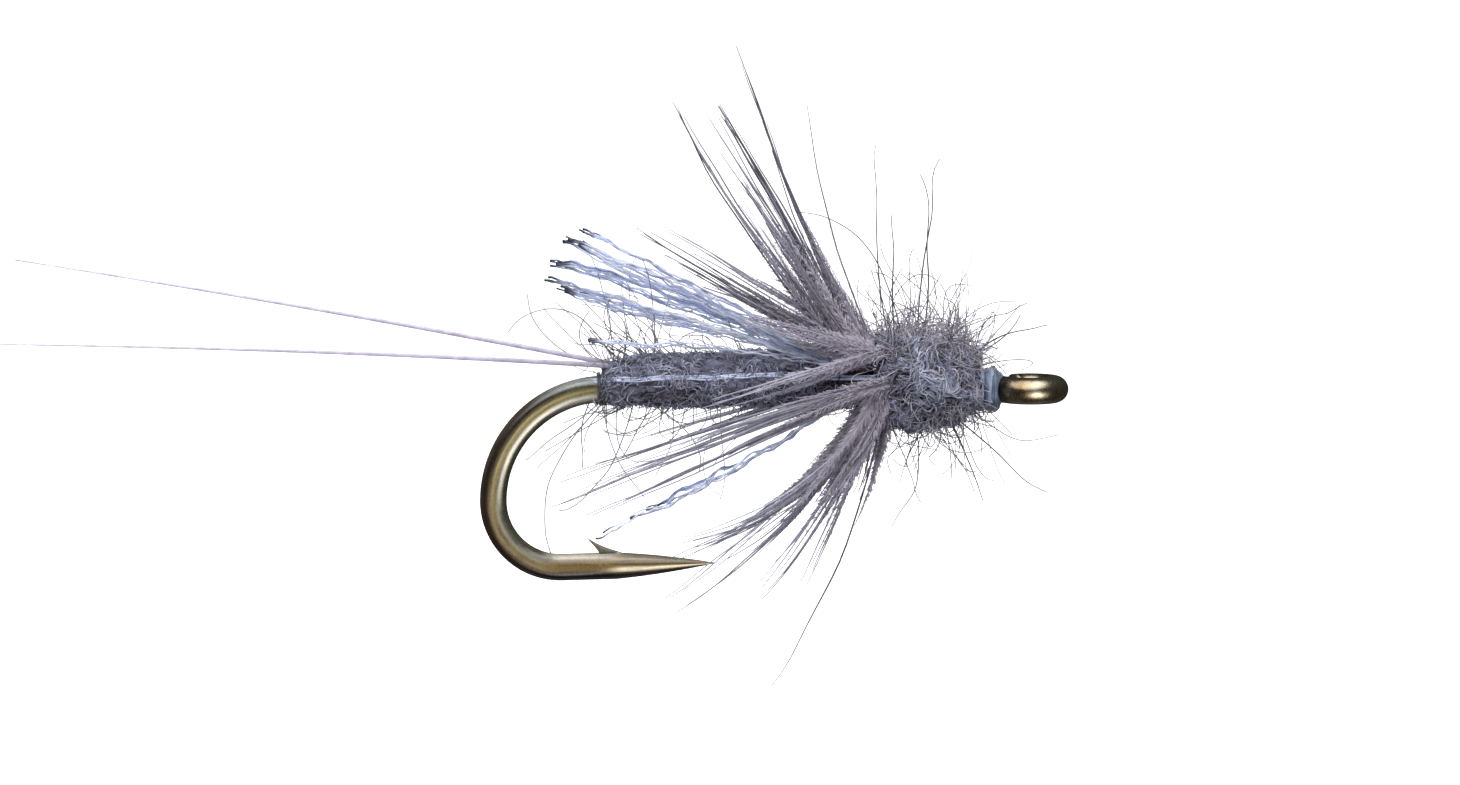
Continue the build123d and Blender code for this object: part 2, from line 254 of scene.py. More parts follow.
def bronzed_wire():
    """Bronze lacquer over bright steel, with painted reflections round the forged bend: dark along its outer
    edge, gold along the flats, and painted highlights along the inner corner and the ground point."""
    material, tree, shader = new_material("bronzed_wire", 0.3)
    across = attribute_node(tree, "across")
    stage = attribute_node(tree, "stage")
    colour = painted(tree, across, *wire_colours_and_reflections[0])
    for place, stops in enumerate(wire_colours_and_reflections[1:]):
        reached = remapped(tree, stage, place, place + 1)
        colour = mixed(tree, reached, colour, painted(tree, across, *stops))
    # the lacquer is streaked along the wire
    streaks = tree.nodes.new("ShaderNodeCombineXYZ")
    tree.links.new(across, streaks.inputs["X"])
    tree.links.new(attribute_node(tree, "run"), streaks.inputs["Y"])
    drawn_out = tree.nodes.new("ShaderNodeTexNoise")
    drawn_out.inputs["Scale"].default_value = 6.5
    drawn_out.inputs["Detail"].default_value = 6.0
    drawn_out.inputs["Roughness"].default_value = 0.68
    tree.links.new(streaks.outputs["Vector"], drawn_out.inputs["Vector"])
    worn, plain, bright = (0.34, 0.22, 0.12, 1), (0.95, 0.92, 0.88, 1), (1.3, 1.18, 0.86, 1)
    patina = ramped(tree, drawn_out.outputs["Fac"], ((0.34, worn), (0.48, plain), (0.64, bright)))
    colour = mixed(tree, 0.75, colour, patina, "MULTIPLY")
    # the ring eye is bare steel, with painted shade where it meets the head
    tarnish = ((0.34, (126, 98, 66)), (0.50, (158, 146, 118)), (0.7, (186, 178, 160)))
    steel = painted(tree, noise_node(tree, 1.6, 3.0), *tarnish)
    shade = ramped(tree, across, ((0.0, linear(52, 40, 30)), (1.0, FULL)))
    steel = mixed(tree, 1.0, steel, shade, "MULTIPLY")
    ring = attribute_node(tree, "ring")
    tree.links.new(mixed(tree, ring, colour, steel), shader.inputs["Base Color"])
    tree.links.new(remapped(tree, ring, low=0.15), shader.inputs["Metallic"])
    grain = noise_node(tree, 16.0, 2.0)
    tree.links.new(remapped(tree, grain, low=0.18, high=0.38), shader.inputs["Roughness"])
    tree.links.new(bump_node(tree, grain, 0.003), shader.inputs["Normal"])
    shader.inputs["Coat Weight"].default_value = 0.4
    shader.inputs["Coat Roughness"].default_value = 0.12
    return material


def felted_fur(name, dark, mid, light, cool):
    """Packed underfur seen between the loose hairs: mottled, with painted shade in its hollows and near the
    hackle.
    """
    material, tree, shader = new_material(name, 0.9)
    broad = painted(tree, noise_node(tree, 2.4, 4.0), (0.32, dark), (0.5, mid), (0.68, light))
    speck = painted(tree, noise_node(tree, 9.0, 3.0, 0.7), (0.42, mid), (0.6, cool))
    colour = mixed(tree, 0.45, broad, speck)
    # painted shade: where the attribute open is 0, the underfur is darkened as if in shadow
    shade = ramped(tree, attribute_node(tree, "open"), ((0.0, (0.10, 0.07, 0.10, 1)), (1.0, FULL)))
    colour = mixed(tree, 1.0, colour, shade, "MULTIPLY")
    tree.links.new(colour, shader.inputs["Base Color"])
    tree.links.new(bump_node(tree, noise_node(tree, 14.0, 4.0, 0.7), 0.05), shader.inputs["Normal"])
    shader.inputs["Sheen Weight"].default_value = 0.3
    return material


def waxed_thread(name, dark, mid, light):
    """Fine flat-filament thread, a little waxy. Each point's tone sets how dark it is: painted shade on the
    head, where the thread sinks between its neighbours and next to the eye.
    """
    material, tree, shader = new_material(name, 0.42)
    spotted = tree.nodes.new("ShaderNodeMath")
    spotted.operation = "MULTIPLY"
    spotted.inputs[1].default_value = 0.4
    tree.links.new(noise_node(tree, 3.0, 3.0, 0.6, (0.6, 2, 2)), spotted.inputs[0])
    worn = tree.nodes.new("ShaderNodeMath")
    worn.operation = "MULTIPLY_ADD"
    worn.inputs[1].default_value = 0.6
    # the tone attribute carries painted shade on the head core, and tone that differs at random along the
    # wound thread
    tree.links.new(attribute_node(tree, "tone"), worn.inputs[0])
    tree.links.new(spotted.outputs["Value"], worn.inputs[2])
    colour = painted(tree, worn.outputs["Value"], (0.25, dark), (0.5, mid), (0.75, light))
    tree.links.new(colour, shader.inputs["Base Color"])
    twist = noise_node(tree, 30.0, 2.0, 0.6, (3, 0.5, 0.5))
    tree.links.new(bump_node(tree, twist, 0.012), shader.inputs["Normal"])
    shader.inputs["Sheen Weight"].default_value = 0.25
    shader.inputs["Coat Weight"].default_value = 0.2
    return material


WHITE = (255, 255, 255)
EVEN = ((0.0, WHITE), (1.0, WHITE))
finishes = {
    "wire": bronzed_wire(),
    "head": waxed_thread("head_thread", (18, 22, 38), (72, 86, 112), (136, 150, 172)),
    "thread": waxed_thread("shank_thread", (34, 36, 44), (66, 70, 86), (98, 104, 126)),
    "abdomen": felted_fur(
        "abdomen_underfur", (46, 38, 50), (112, 110, 126), (156, 158, 174), (138, 148, 178)
    ),
    # the thorax underfur's colours are its own, made darker as painted shade deep in the gaps between its
    # tufts
    "thorax": felted_fur("thorax_underfur", (16, 10, 18), (44, 36, 50), (84, 80, 98), (72, 80, 112)),
    "fur": fibre_material(
        "fur_hair",
        ((42, 32, 48), (112, 108, 126), (160, 160, 180), (186, 194, 222), (236, 236, 248)),
        ((0.0, (190, 190, 198)), (1.0, WHITE)),
        roughness=0.55,
        weight=0.3,
        through=0.15,
    ),
    "guard": fibre_material(
        "guard_hair",
        ((122, 118, 126), (190, 186, 196), (222, 218, 228)),
        ((0.0, (215, 215, 220)), (1.0, WHITE)),
        roughness=0.4,
        weight=0.4,
        through=0.4,
    ),
    "tail": fibre_material(
        "tail_bristle",
        ((222, 218, 230), (236, 234, 242)),
        ((0.0, (228, 224, 232)), (1.0, WHITE)),
        roughness=0.3,
        weight=0.5,
        through=0.5,
    ),
    "yarn": fibre_material(
        "yarn_filament",
        ((188, 199, 232), (214, 222, 243), (232, 237, 250), (246, 248, 255)),
        (
            (0.0, (250, 250, 252)),
            (0.3, WHITE),
            (0.955, WHITE),
            # painted shade: each filament darkens over its last few hundredths, for the dark look of a clear
            # filament's cut end
            (0.98, (140, 142, 156)),
            (1.0, (84, 86, 100)),
        ),
        roughness=0.22,
        weight=0.6,
        through=0.55,
    ),
    "strand": fibre_material(
        "strand_filament", ((166, 180, 226), (204, 214, 242), (236, 240, 252)), EVEN, 0.25, 0.0, 0.6, 0.15
    ),
    "barb": fibre_material(
        "hackle_barb",
        ((112, 110, 118), (164, 163, 176), (198, 197, 210), (224, 224, 236)),
        ((0.0, (206, 186, 198)), (0.2, (232, 226, 234)), (0.45, WHITE), (1.0, WHITE)),
        roughness=0.45,
        weight=0.4,
        through=0.5,
    ),
    "web": fibre_material(
        "hackle_web",
        ((190, 184, 196), (212, 207, 218), (232, 229, 238)),
        ((0.0, (226, 218, 226)), (1.0, WHITE)),
        roughness=0.6,
        weight=0.2,
        through=0.45,
    ),
    # the stem's near-black is partly painted shade for the dark gaps round the hackle
    "stem": fibre_material("hackle_stem", ((44, 34, 40), (70, 56, 62)), EVEN, 0.5, 0.0, 0.4),
}


# ---------------------------------------------------------------- making pieces
def finish_piece(piece, material, nodes):
    """Puts a finished mesh piece in the model: its finish, its body and what it stands for."""
    piece.data.materials.clear()
    piece.data.materials.append(finishes[material])
    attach(piece, "root")
    if nodes:
        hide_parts(*nodes)
    return piece


def solid_piece(name, bm, material, nodes=()):
    """A piece from a bmesh drawn in millimetres."""
    bmesh.ops.recalc_face_normals(bm, faces=bm.faces)
    bmesh.ops.scale(bm, vec=(MM, MM, MM), verts=bm.verts)
    mesh = bpy.data.meshes.new(name)
    bm.to_mesh(mesh)
    bm.free()
    mesh.shade_smooth()
    piece = bpy.data.objects.new(name, mesh)
    bpy.context.collection.objects.link(piece)
    return finish_piece(piece, material, nodes)


class Fibres:
    """Loose fibres gathered as bevelled splines, which become one mesh piece."""

    def __init__(self, name, sides=4):
        self.name = name
        self.sides = sides
        self.tones = []
        self.curve = bpy.data.curves.new(name, "CURVE")
        self.curve.dimensions = "3D"
        self.curve.bevel_depth = 1.0
        self.curve.bevel_resolution = (sides - 4) // 2
        self.curve.use_fill_caps = True

    def lay(self, points, radii, tone, reach=1.0):
        """Adds one fibre through points, with a radius at each and a tone from dark 0 to pale 1. reach is
        how far its end counts as along."""
        spline = self.curve.splines.new("POLY")
        spline.points.add(len(points) - 1)
        spline.points.foreach_set("co", [c for p in points for c in (p.x, p.y, p.z, 1.0)])
        spline.points.foreach_set("radius", radii)
        self.tones.append((min(1.0, max(0.0, tone)), reach))

    def finish(self, material, nodes=()):
        """Makes the mesh piece. Each fibre keeps its tone, and how far along it a point is."""
        holder = bpy.data.objects.new(self.name, self.curve)
        bpy.context.collection.objects.link(holder)
        graph = bpy.context.evaluated_depsgraph_get()
        mesh = bpy.data.meshes.new_from_object(holder.evaluated_get(graph))
        counts = [len(s.points) for s in self.curve.splines]
        bpy.data.objects.remove(holder)
        bpy.data.curves.remove(self.curve)
        tones = []
        along = []
        for tone, reach in reversed(self.tones):
            tones += [tone] * (2 * self.sides)
            along += [reach] * self.sides + [0.0] * self.sides
        for (tone, reach), count in zip(self.tones, counts):
            tones += [tone] * (count * self.sides)
            for ring in range(count):
                along += [reach * ring / (count - 1)] * self.sides
        for title, values in (("tone", tones), ("along", along)):
            layer = mesh.attributes.new(title, "FLOAT", "POINT")
            layer.data.foreach_set("value", values)
        bm = bmesh.new()
        bm.from_mesh(mesh)
        bmesh.ops.remove_doubles(bm, verts=bm.verts, dist=1e-5)
        bmesh.ops.recalc_face_normals(bm, faces=bm.faces)
        bmesh.ops.scale(bm, vec=(MM, MM, MM), verts=bm.verts)
        bm.to_mesh(mesh)
        bm.free()
        mesh.name = self.name
        mesh.shade_smooth()
        piece = bpy.data.objects.new(self.name, mesh)
        bpy.context.collection.objects.link(piece)
        return finish_piece(piece, material, nodes)


def spaced(count):
    """Shares from 0 to 1, both ends included."""
    return [i / (count - 1) for i in range(count)]


def bowed(start, control, end, count):
    """Points along a smooth arc that leaves start towards control and reaches end."""
    return [start * (1 - t) ** 2 + control * (2 * t * (1 - t)) + end * t**2 for t in spaced(count)]


def tapered(count, root, tip, hold=0.0):
    """Radii from root to tip. hold is the share of the length that keeps the root's thickness."""
    radii = []
    for t in spaced(count):
        fade = max(0.0, (t - hold) / (1 - hold)) if hold < 1 else 0.0
        radii.append(root + (tip - root) * fade)
    return radii


def drifting(points, reach, scale, seed):
    """Moves the points of a fibre sideways by smooth noise that grows from nothing at its root."""
    moved = []
    last = len(points) - 1
    for i, p in enumerate(points):
        push = noise.noise_vector(p * scale + Vector((seed, seed * 0.7, -seed)))
        moved.append(p + push * reach * (i / last))
    return moved


# ---------------------------------------------------------------- the hook
# How far round the bend each of the wire's bands of colour and painted reflection is found, in degrees from
# the shank
stage_turns = ((12, 0.0), (38, 1.0), (68, 1.0), (100, 2.0), (158, 2.0), (178, 3.0), (182, 3.0), (215, 4.0))


def stage_at(turn):
    """Which of the wire's bands of colour and painted reflection a place shows, as a number that runs on
    between them.
    """
    if turn <= stage_turns[0][0]:
        return 0.0
    for (start, low), (end, high) in zip(stage_turns, stage_turns[1:]):
        if turn <= end:
            return low + (high - low) * (turn - start) / (end - start)
    return stage_turns[-1][1]


def make_hook():
    """One length of wire: the ring eye, its neck, the shank, the forged bend, the point and the barb."""
    bm = bmesh.new()
    neck_radius = 0.35  # of the sideways bend that leads the ring back to the shank's axis
    neck_x = -sqrt(eye_ring**2 + 2 * eye_ring * neck_radius)
    neck_angle = atan2(neck_radius, neck_x)  # round the ring, where the neck leaves it
    butt_angle = radians(-128)  # where the end of the wire meets the neck
    start = Vector((eye_ring * cos(butt_angle), eye_ring * sin(butt_angle), 0))
    heading = Matrix.Rotation(butt_angle, 4, "Z") @ Matrix.Rotation(radians(90), 4, "X")
    ring = bmesh.ops.create_circle(
        bm, cap_ends=True, radius=wire, segments=36, matrix=Matrix.Translation(start) @ heading
    )["verts"]
    edges = list({e for v in ring for e in v.link_edges})

    def turned(edges, centre, axis, angle, steps):
        """Carries the open end of the wire round an arc."""
        spun = bmesh.ops.spin(
            bm,
            geom=edges + list({v for e in edges for v in e.verts}),
            cent=centre,
            axis=axis,
            angle=angle,
            steps=steps,
            use_merge=False,
            use_normal_flip=False,
            use_duplicate=False,
            dvec=(0, 0, 0),
            space=Matrix(),
        )["geom_last"]
        return [g for g in spun if isinstance(g, bmesh.types.BMEdge)]

    def drawn(edges, step, size=1.0):
        """Carries the open end of the wire straight on, and narrows it."""
        made = bmesh.ops.extrude_edge_only(bm, edges=edges)["geom"]
        verts = [g for g in made if isinstance(g, bmesh.types.BMVert)]
        bmesh.ops.translate(bm, vec=step, verts=verts)
        middle = sum((v.co for v in verts), Vector()) / len(verts)
        bmesh.ops.scale(bm, vec=(size,) * 3, space=Matrix.Translation(-middle), verts=verts)
        return [g for g in made if isinstance(g, bmesh.types.BMEdge)]

    z_axis = Vector((0, 0, 1))
    edges = turned(edges, (0, 0, 0), z_axis, neck_angle - butt_angle, 56)
    edges = turned(edges, (neck_x, neck_radius, 0), z_axis, -(pi / 2 - (pi - neck_angle)), 12)
    for _ in range(4):
        edges = drawn(edges, Vector(((shank_end - neck_x) / 4, 0, 0)))
    y_axis = Vector((0, 1, 0))
    edges = turned(edges, (shank_end, 0, -bend_radius), y_axis, -pi / 2, 44)
    lower_x = hook_low.x + wire + lower_bend_radius
    edges = turned(edges, (lower_x, 0, -bend_radius), y_axis, -radians(bend_turn), 36)
    climb = radians(bend_turn - 90)
    onward = Vector((cos(climb), 0, sin(climb)))
    for _ in range(6):
        edges = drawn(edges, onward * leg_length / 6)
    leg_end = sum((e.verts[0].co for e in edges), Vector()) / len(edges)
    steps = 16
    size = 1.0
    for i in range(1, steps + 1):
        share = i / steps
        wanted = wire + (tip_radius - wire) * share + point_bulge * 4 * share * (1 - share)
        edges = drawn(edges, onward * point_length / steps, wanted / (wire * size))
        size = wanted / wire
    bmesh.ops.holes_fill(bm, edges=edges, sides=0)

    # the bend is pressed between flat dies: crisp along its outer edge, rounded along its inner one
    flat = wire - forging_depth
    inner_start = -0.18 * wire
    for v in bm.verts:
        fade = min(1.0, max(0.0, (shank_end + 0.4 - v.co.x) / 0.9))
        if fade == 0 or v.co.x > leg_end.x + 0.2:
            continue
        if v.co.z > -bend_radius:
            outward = (v.co - Vector((shank_end, v.co.y, -bend_radius))).length - bend_radius
        elif v.co.x < lower_x:
            outward = (v.co - Vector((lower_x, v.co.y, -bend_radius))).length - lower_bend_radius
        else:
            outward = -(v.co - leg_end).dot(Vector((-onward.z, 0, onward.x)))
        if outward > inner_start:
            half = min(sqrt(max(0.0, wire**2 - outward**2)), flat)
        else:
            share = min(1.0, (inner_start - outward) / (wire + inner_start))
            half = flat * sqrt(1 - share**2)
        if v.co.x > leg_end.x - 0.4:
            fade *= max(0.0, (leg_end.x + 0.2 - v.co.x) / 0.6)
        if abs(v.co.y) > 1e-6:
            v.co.y = (1 - fade) * v.co.y + fade * (half if v.co.y > 0 else -half)

    # the barb: a spur cut up from the leg, leaning back towards the bend
    up = Vector((-onward.z, 0, onward.x))
    tip = leg_end + onward * point_length
    near = Vector((0, -barb_width / 2, 0))
    verts = [bm.verts.new(tip - onward * back + up * high + near) for back, high in barb_outline]
    side = bm.faces.new(verts)
    thick = bmesh.ops.extrude_face_region(bm, geom=[side], use_keep_orig=True)["geom"]
    far = [g for g in thick if isinstance(g, bmesh.types.BMVert)]
    bmesh.ops.translate(bm, vec=(0, barb_width, 0), verts=far)
    for v in verts + far:
        high = (v.co - leg_end).dot(up)
        v.co.y *= 1.0 - 0.85 * max(0.0, (high - 0.2) / 0.32)
    rim = [e for e in bm.edges if e.verts[0] in verts + far and e.verts[1] in verts + far]
    bmesh.ops.bevel(bm, geom=rim, offset=0.012, segments=2, profile=0.5, affect="EDGES", material=-1)

    # where each point lies across the wire, from the inside of the bend 0 to its outside 1, how far round
    # the bend it is, and how far along the wire's run of colours
    across, stage, ring, run = (bm.verts.layers.float.new(n) for n in ("across", "stage", "ring", "run"))
    for v in bm.verts:
        flat_place = Vector((v.co.x, 0, v.co.z))
        size = wire
        if v.co.z > -bend_radius:
            hub = Vector((shank_end, 0, -bend_radius))
            outward = (Vector((min(v.co.x, shank_end), 0, v.co.z)) - hub).length - bend_radius
            turn = degrees(atan2(max(0.0, shank_end - v.co.x), v.co.z + bend_radius))
        elif v.co.x < lower_x:
            hub = Vector((lower_x, 0, -bend_radius))
            outward = (flat_place - hub).length - lower_bend_radius
            turn = degrees(atan2(lower_x - v.co.x, v.co.z + bend_radius))
        else:
            outward = -(v.co - leg_end).dot(up)
            share = min(1.0, max(0.0, (v.co - leg_end).dot(onward) / point_length))
            size += (tip_radius - wire) * share + point_bulge * 4 * share * (1 - share)
            turn = 180 + 100 * max(0.0, v.co.x - leg_end.x + 0.22)
        v[across] = min(1.0, max(0.0, 0.5 + 0.5 * outward / size))
        v[stage] = stage_at(turn)
        if turn > 178 and outward < -size - 0.01:
            v[across], v[stage] = 0.05, 0.0  # the barb, which keeps its dull bronze
        v[run] = 0.007 * min(turn, 190.0) if v.co.x < shank_end else 0.25 * (shank_end - v.co.x)
        if v.co.x > head_low.x:
            v[ring] = 1.0
            # on the ring, across carries painted shade: 0 is dark next to the head, 1 is fully lit a little
            # beyond it
            v[across] = min(1.0, max(0.0, (v.co.x - head_high.x + 0.05) / 0.14))
    # the eye closes on the far side
    bmesh.ops.scale(bm, vec=(1, -1, 1), verts=bm.verts)
    return solid_piece("hook", bm, "wire", ("hook_wire",))


# ---------------------------------------------------------------- thread
pinched = 0.02  # radius at the closed ends of a turned form


def lathe_x(profile, segments, wobble=0.0, bumps=3.0, seed=0.0, lift=0.0):
    """A closed turned shape about the shank from (x, radius) points, roughened by smooth noise."""
    bm = bmesh.new()
    verts = [bm.verts.new((x, 0, max(r, 1e-4))) for x, r in profile]
    edges = [bm.edges.new(pair) for pair in zip(verts, verts[1:])]
    bmesh.ops.spin(
        bm,
        geom=verts + edges,
        cent=(0, 0, 0),
        axis=(1, 0, 0),
        angle=2 * pi,
        steps=segments,
        use_merge=True,
        use_normal_flip=False,
        use_duplicate=False,
        dvec=(0, 0, 0),
        space=Matrix(),
    )
    bmesh.ops.remove_doubles(bm, verts=bm.verts, dist=2e-4)
    bmesh.ops.holes_fill(bm, edges=bm.edges, sides=0)
    for v in bm.verts:
        radius = sqrt(v.co.y**2 + v.co.z**2)
        if wobble and radius > 0.01:
            push = noise.noise(v.co * bumps + Vector((seed, 0, 0))) * wobble
            push += noise.noise(v.co * bumps * 3.1 + Vector((0, seed, 0))) * wobble * 0.45
            v.co.y *= 1 + push / radius
            v.co.z *= 1 + push / radius
        v.co.z += lift
    return bm


def head_radius_at(x):
    """The thread head's outline: steep at the fur, full, then drawn in behind the eye."""
    share = min(1.0, max(0.0, (x - head_low.x) / (head_high.x - head_low.x)))
    full = head_high.z
    return full * (0.95 + 0.12 * sin(pi * min(1.0, share * 1.2)) - 0.34 * share**4)


def wound(fibres, start_x, end_x, radius_at, turns, thick, rng, lift=0.0, per_turn=26):
    """Lays thread in a helix along the shank."""
    count = int(turns * per_turn) + 1
    points = []
    phase = rng.uniform(0, 2 * pi)
    for t in spaced(count):
        x = start_x + (end_x - start_x) * t
        angle = phase + 2 * pi * turns * t
        r = radius_at(x)
        points.append(Vector((x, r * cos(angle), r * sin(angle) + lift)))
    fibres.lay(points, [thick] * count, rng.random())


def make_head():
    """The wound head behind the eye: a few flat turns of thread, waxed nearly smooth."""
    rng = random.Random(11)
    low, high = head_low.x - 0.1, head_high.x + 0.03
    stations = [low + (high - low) * t for t in spaced(25)]
    profile = [(low, pinched)] + [(x, head_radius_at(x)) for x in stations] + [(high, pinched)]
    core = lathe_x(profile, 56, 0.008, 4.0, 3.0)
    tone = core.verts.layers.float.new("tone")
    for v in core.verts:
        angle = atan2(v.co.z, v.co.y)
        groove = abs(sin((v.co.x / 0.17 + angle / (2 * pi)) * pi))
        size = 0.99 - 0.09 * (1 - groove**0.5) + 0.04 * noise.noise(v.co * 5)
        behind_eye = min(1.0, max(0.0, (head_high.x - v.co.x) / 0.15))
        # painted shade: darker in the grooves between turns and where the head meets the eye
        v[tone] = groove**0.6 * (0.15 + 0.85 * behind_eye)
        v.co.y *= size
        v.co.z *= size
    core_piece = solid_piece("head_core", core, "head", ("thread_head",))
    wraps = Fibres("head_wraps", 6)
    wound(wraps, low, high - 0.02, lambda x: head_radius_at(x) - 0.032, 3.2, 0.036, rng)
    wound(wraps, high - 0.01, low + 0.1, lambda x: head_radius_at(x) - 0.03, 2.4, 0.034, rng)
    wraps.finish("head")
    return core_piece


def make_shank_thread():
    """Foundation wraps along the shank, the tail ridge and both lashings, mostly under the fur."""
    rng = random.Random(12)
    under = Fibres("shank_wraps", 6)
    base = wire + 0.018
    wound(under, abdomen_low.x, head_low.x, lambda x: base, 46, 0.03, rng, per_turn=16)
    under.finish("thread", ("thread_underbody",))
    ridge = Fibres("tail_ridge", 6)
    low_x = abdomen_low.x
    wound(ridge, low_x - 0.13, low_x + 0.06, lambda x: wire + 0.03, 2.6, 0.034, rng, per_turn=20)
    ridge.finish("thread", ("tail_divider",))
    tails = Fibres("tail_wraps", 6)
    low, high = box_mm("tail_lashing")
    wound(tails, low.x, high.x, lambda x: 0.27, 8, 0.04, rng, lift=0.05, per_turn=18)
    tails.finish("thread", ("tail_lashing",))
    wing = Fibres("wing_wraps", 6)
    low, high = box_mm("wing_lashing")
    wound(wing, low.x, high.x, lambda x: wire + 0.08, 5, 0.04, rng, per_turn=18)
    # the wing wraps are grey thread; the dark stem finish on them is painted shade
    wing.finish("stem", ("wing_lashing",))
    stem = Fibres("hackle_stem", 6)
    half = 0.05  # half the stem's thickness
    coil = quill_high.z - half
    wound(stem, quill_low.x + half, quill_high.x - half, lambda x: coil, 2.5, 0.045, rng, per_turn=22)
    stem.finish("stem", ("hackle_quill",))


# ---------------------------------------------------------------- tails
def make_tail(name, side, low, high):
    """One long bristle that tapers and sweeps out from its lashing."""
    count = 30
    root = Vector((abdomen_low.x + 0.3, side * 0.07, 0.38))
    tip = Vector((low.x, (high.y if side > 0 else low.y) * 0.98, high.z))
    rise = tip.z - root.z
    control = Vector((root.x + (tip.x - root.x) * 0.45, side * 0.35, root.z + rise * 0.5 + 0.06))
    tail = Fibres("tail_" + name, 10)
    tail.lay(bowed(root, control, tip, count), tapered(count, 0.047, 0.014), 0.5)
    return tail.finish("tail", ("tail_fibre_" + name,))


# ---------------------------------------------------------------- fur
def abdomen_at(x):
    """The abdomen's radius and the height of its middle above the shank at a station."""
    share = min(1.0, max(0.0, (x - abdomen_low.x) / (abdomen_high.x - abdomen_low.x)))
    slope = min(1.0, share / 0.14)
    radius = 0.25 + 0.15 * slope**0.6 + 0.06 * share - 0.10 * max(0.0, share - 0.85) / 0.15
    return radius, radius - 0.18 - 0.09 * slope


def thorax_at(x):
    """The thorax's radius and the height of its middle at a station."""
    share = min(1.0, max(0.0, (x - thorax_low.x) / (thorax_high.x - thorax_low.x)))
    return 0.56 + 0.13 * sin(pi * min(1.0, share * 1.1)) - 0.27 * share**4, 0.15


def thorax_core_at(x):
    """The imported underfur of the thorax, a little inside its coarse hair."""
    radius, lift = thorax_at(x)
    return radius - 0.07, lift


def fur_core(region, low_x, high_x, shape_at, wobble, bumps, seed):
    """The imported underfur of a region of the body, as one closed lumpy form round the shank."""
    rings = [(low_x + (high_x - low_x) * t, 1.0) for t in spaced(64)]
    bm = lathe_x([(low_x, pinched)] + rings + [(high_x, pinched)], 72)
    painted_light_share = bm.verts.layers.float.new("open")
    for v in bm.verts:
        radius, lift = shape_at(min(max(v.co.x, low_x), high_x))
        reach = sqrt(v.co.y**2 + v.co.z**2)
        around = v.co.copy()
        push = noise.noise(around * bumps + Vector((seed, 0, 0))) + 0.5 * noise.noise(around * bumps * 2.7)
        end = min(v.co.x - low_x, high_x - v.co.x)
        round_off = min(1.0, 0.72 + 0.28 * sqrt(max(0.0, end) / 0.12))
        scale = (radius * round_off + push * wobble) * min(1.0, reach)
        angle = atan2(v.co.z, v.co.y)
        v.co.y = scale * cos(angle)
        v.co.z = scale * sin(angle) + lift
        # painted shade: the underfur is darkened where the noise pushes it in and close to the hackle
        from_hackle = abs(v.co.x - quill_low.x) - 0.25
        v[painted_light_share] = min(1.0, max(0.0, 0.75 + 1.1 * push)) * min(1.0, max(0.0, from_hackle / 0.5))
    return solid_piece(region + "_core", bm, region, (region + "_dubbing",))


def lay_tufts(
    fur, rng, number, hairs, span, shape_at, length, proud, wrap, thick, seed, count=8, bare=-1.0, stray=0.55
):
    """Lays number tufts of hairs parallel hairs each, which follow a swirling flow over the fur. wrap turns
    the flow round the shank, and proud is how far the highest tufts stand off. Tufts that would stand lower
    than the share bare of it are left out, which leaves dark hollows. count is the points of a hair, and
    stray is how far tufts turn out of the flow."""
    low_x, high_x = span
    for _ in range(number):
        tuft_x, tuft_angle = rng.uniform(low_x, high_x), rng.uniform(0, 2 * pi)
        radius, lift = shape_at(tuft_x)
        mood = noise.noise(Vector((tuft_x, radius * cos(tuft_angle), radius * sin(tuft_angle))) * 3.4)
        share = min(1.0, max(0.0, 0.42 + 1.5 * mood + rng.gauss(0, 0.2)))
        if share < bare:
            continue
        height = proud * share
        # painted light and shade: tufts that stand lower are darker and tufts on the upper side lighter,
        # with random tone on top
        tuft_shade_tone = 0.16 + 0.72 * share + 0.12 * sin(tuft_angle) + rng.gauss(0, 0.12)
        tuft_length = length * rng.uniform(0.5, 1.2)
        veer = rng.gauss(0, stray)
        for _ in range(hairs):
            x = tuft_x + rng.gauss(0, 0.045)
            angle = tuft_angle + rng.gauss(0, 0.045) / radius
            own = veer + rng.gauss(0, 0.18)
            rise = height * rng.uniform(0.7, 1.15)
            step = tuft_length * rng.uniform(0.7, 1.0) / (count - 1)
            points = []
            for t in spaced(count):
                x = min(max(x, low_x), high_x)
                radius, lift = shape_at(x)
                r = radius - 0.015 + (rise + 0.02) * sin(pi * min(1.0, 0.1 + t))
                p = Vector((x, r * cos(angle), r * sin(angle) + lift))
                points.append(p)
                flow = noise.noise_vector(p * 2.8 + Vector((seed, seed, -seed)))
                turn = atan2(flow.y * -sin(angle) + flow.z * cos(angle) + wrap, flow.x) + own
                x += step * cos(turn)
                angle += step * sin(turn) / radius
            # painted shade: hairs close to the hackle are darkened
            shaded = 0.5 * max(0.0, 1 - abs(x - quill_low.x) / 1.1)
            radii = tapered(count, thick * rng.uniform(0.75, 1.2), thick * 0.4, 0.5)
            fur.lay(points, radii, tuft_shade_tone - shaded + rng.gauss(0, 0.10))


def stray_hair(rng, x, angle, shape_at, length, lean, wave, count=9):
    """Points of a hair that stands off the fur and curls."""
    radius, lift = shape_at(x)
    radius *= 0.85
    root = Vector((x, radius * cos(angle), radius * sin(angle) + lift))
    out = Vector((0, cos(angle), sin(angle)))
    heading = (out + Vector((lean, 0, 0)) + Vector([rng.gauss(0, 0.25) for _ in range(3)])).normalized()
    turn_axis = Vector([rng.gauss(0, 1) for _ in range(3)]).normalized()
    bend = rng.gauss(0, wave)
    points = [root]
    for _ in range(count - 1):
        points.append(points[-1] + heading * length / (count - 1))
        heading = Quaternion(turn_axis, bend) @ heading
        bend += rng.gauss(0, wave * 0.35)
    return points


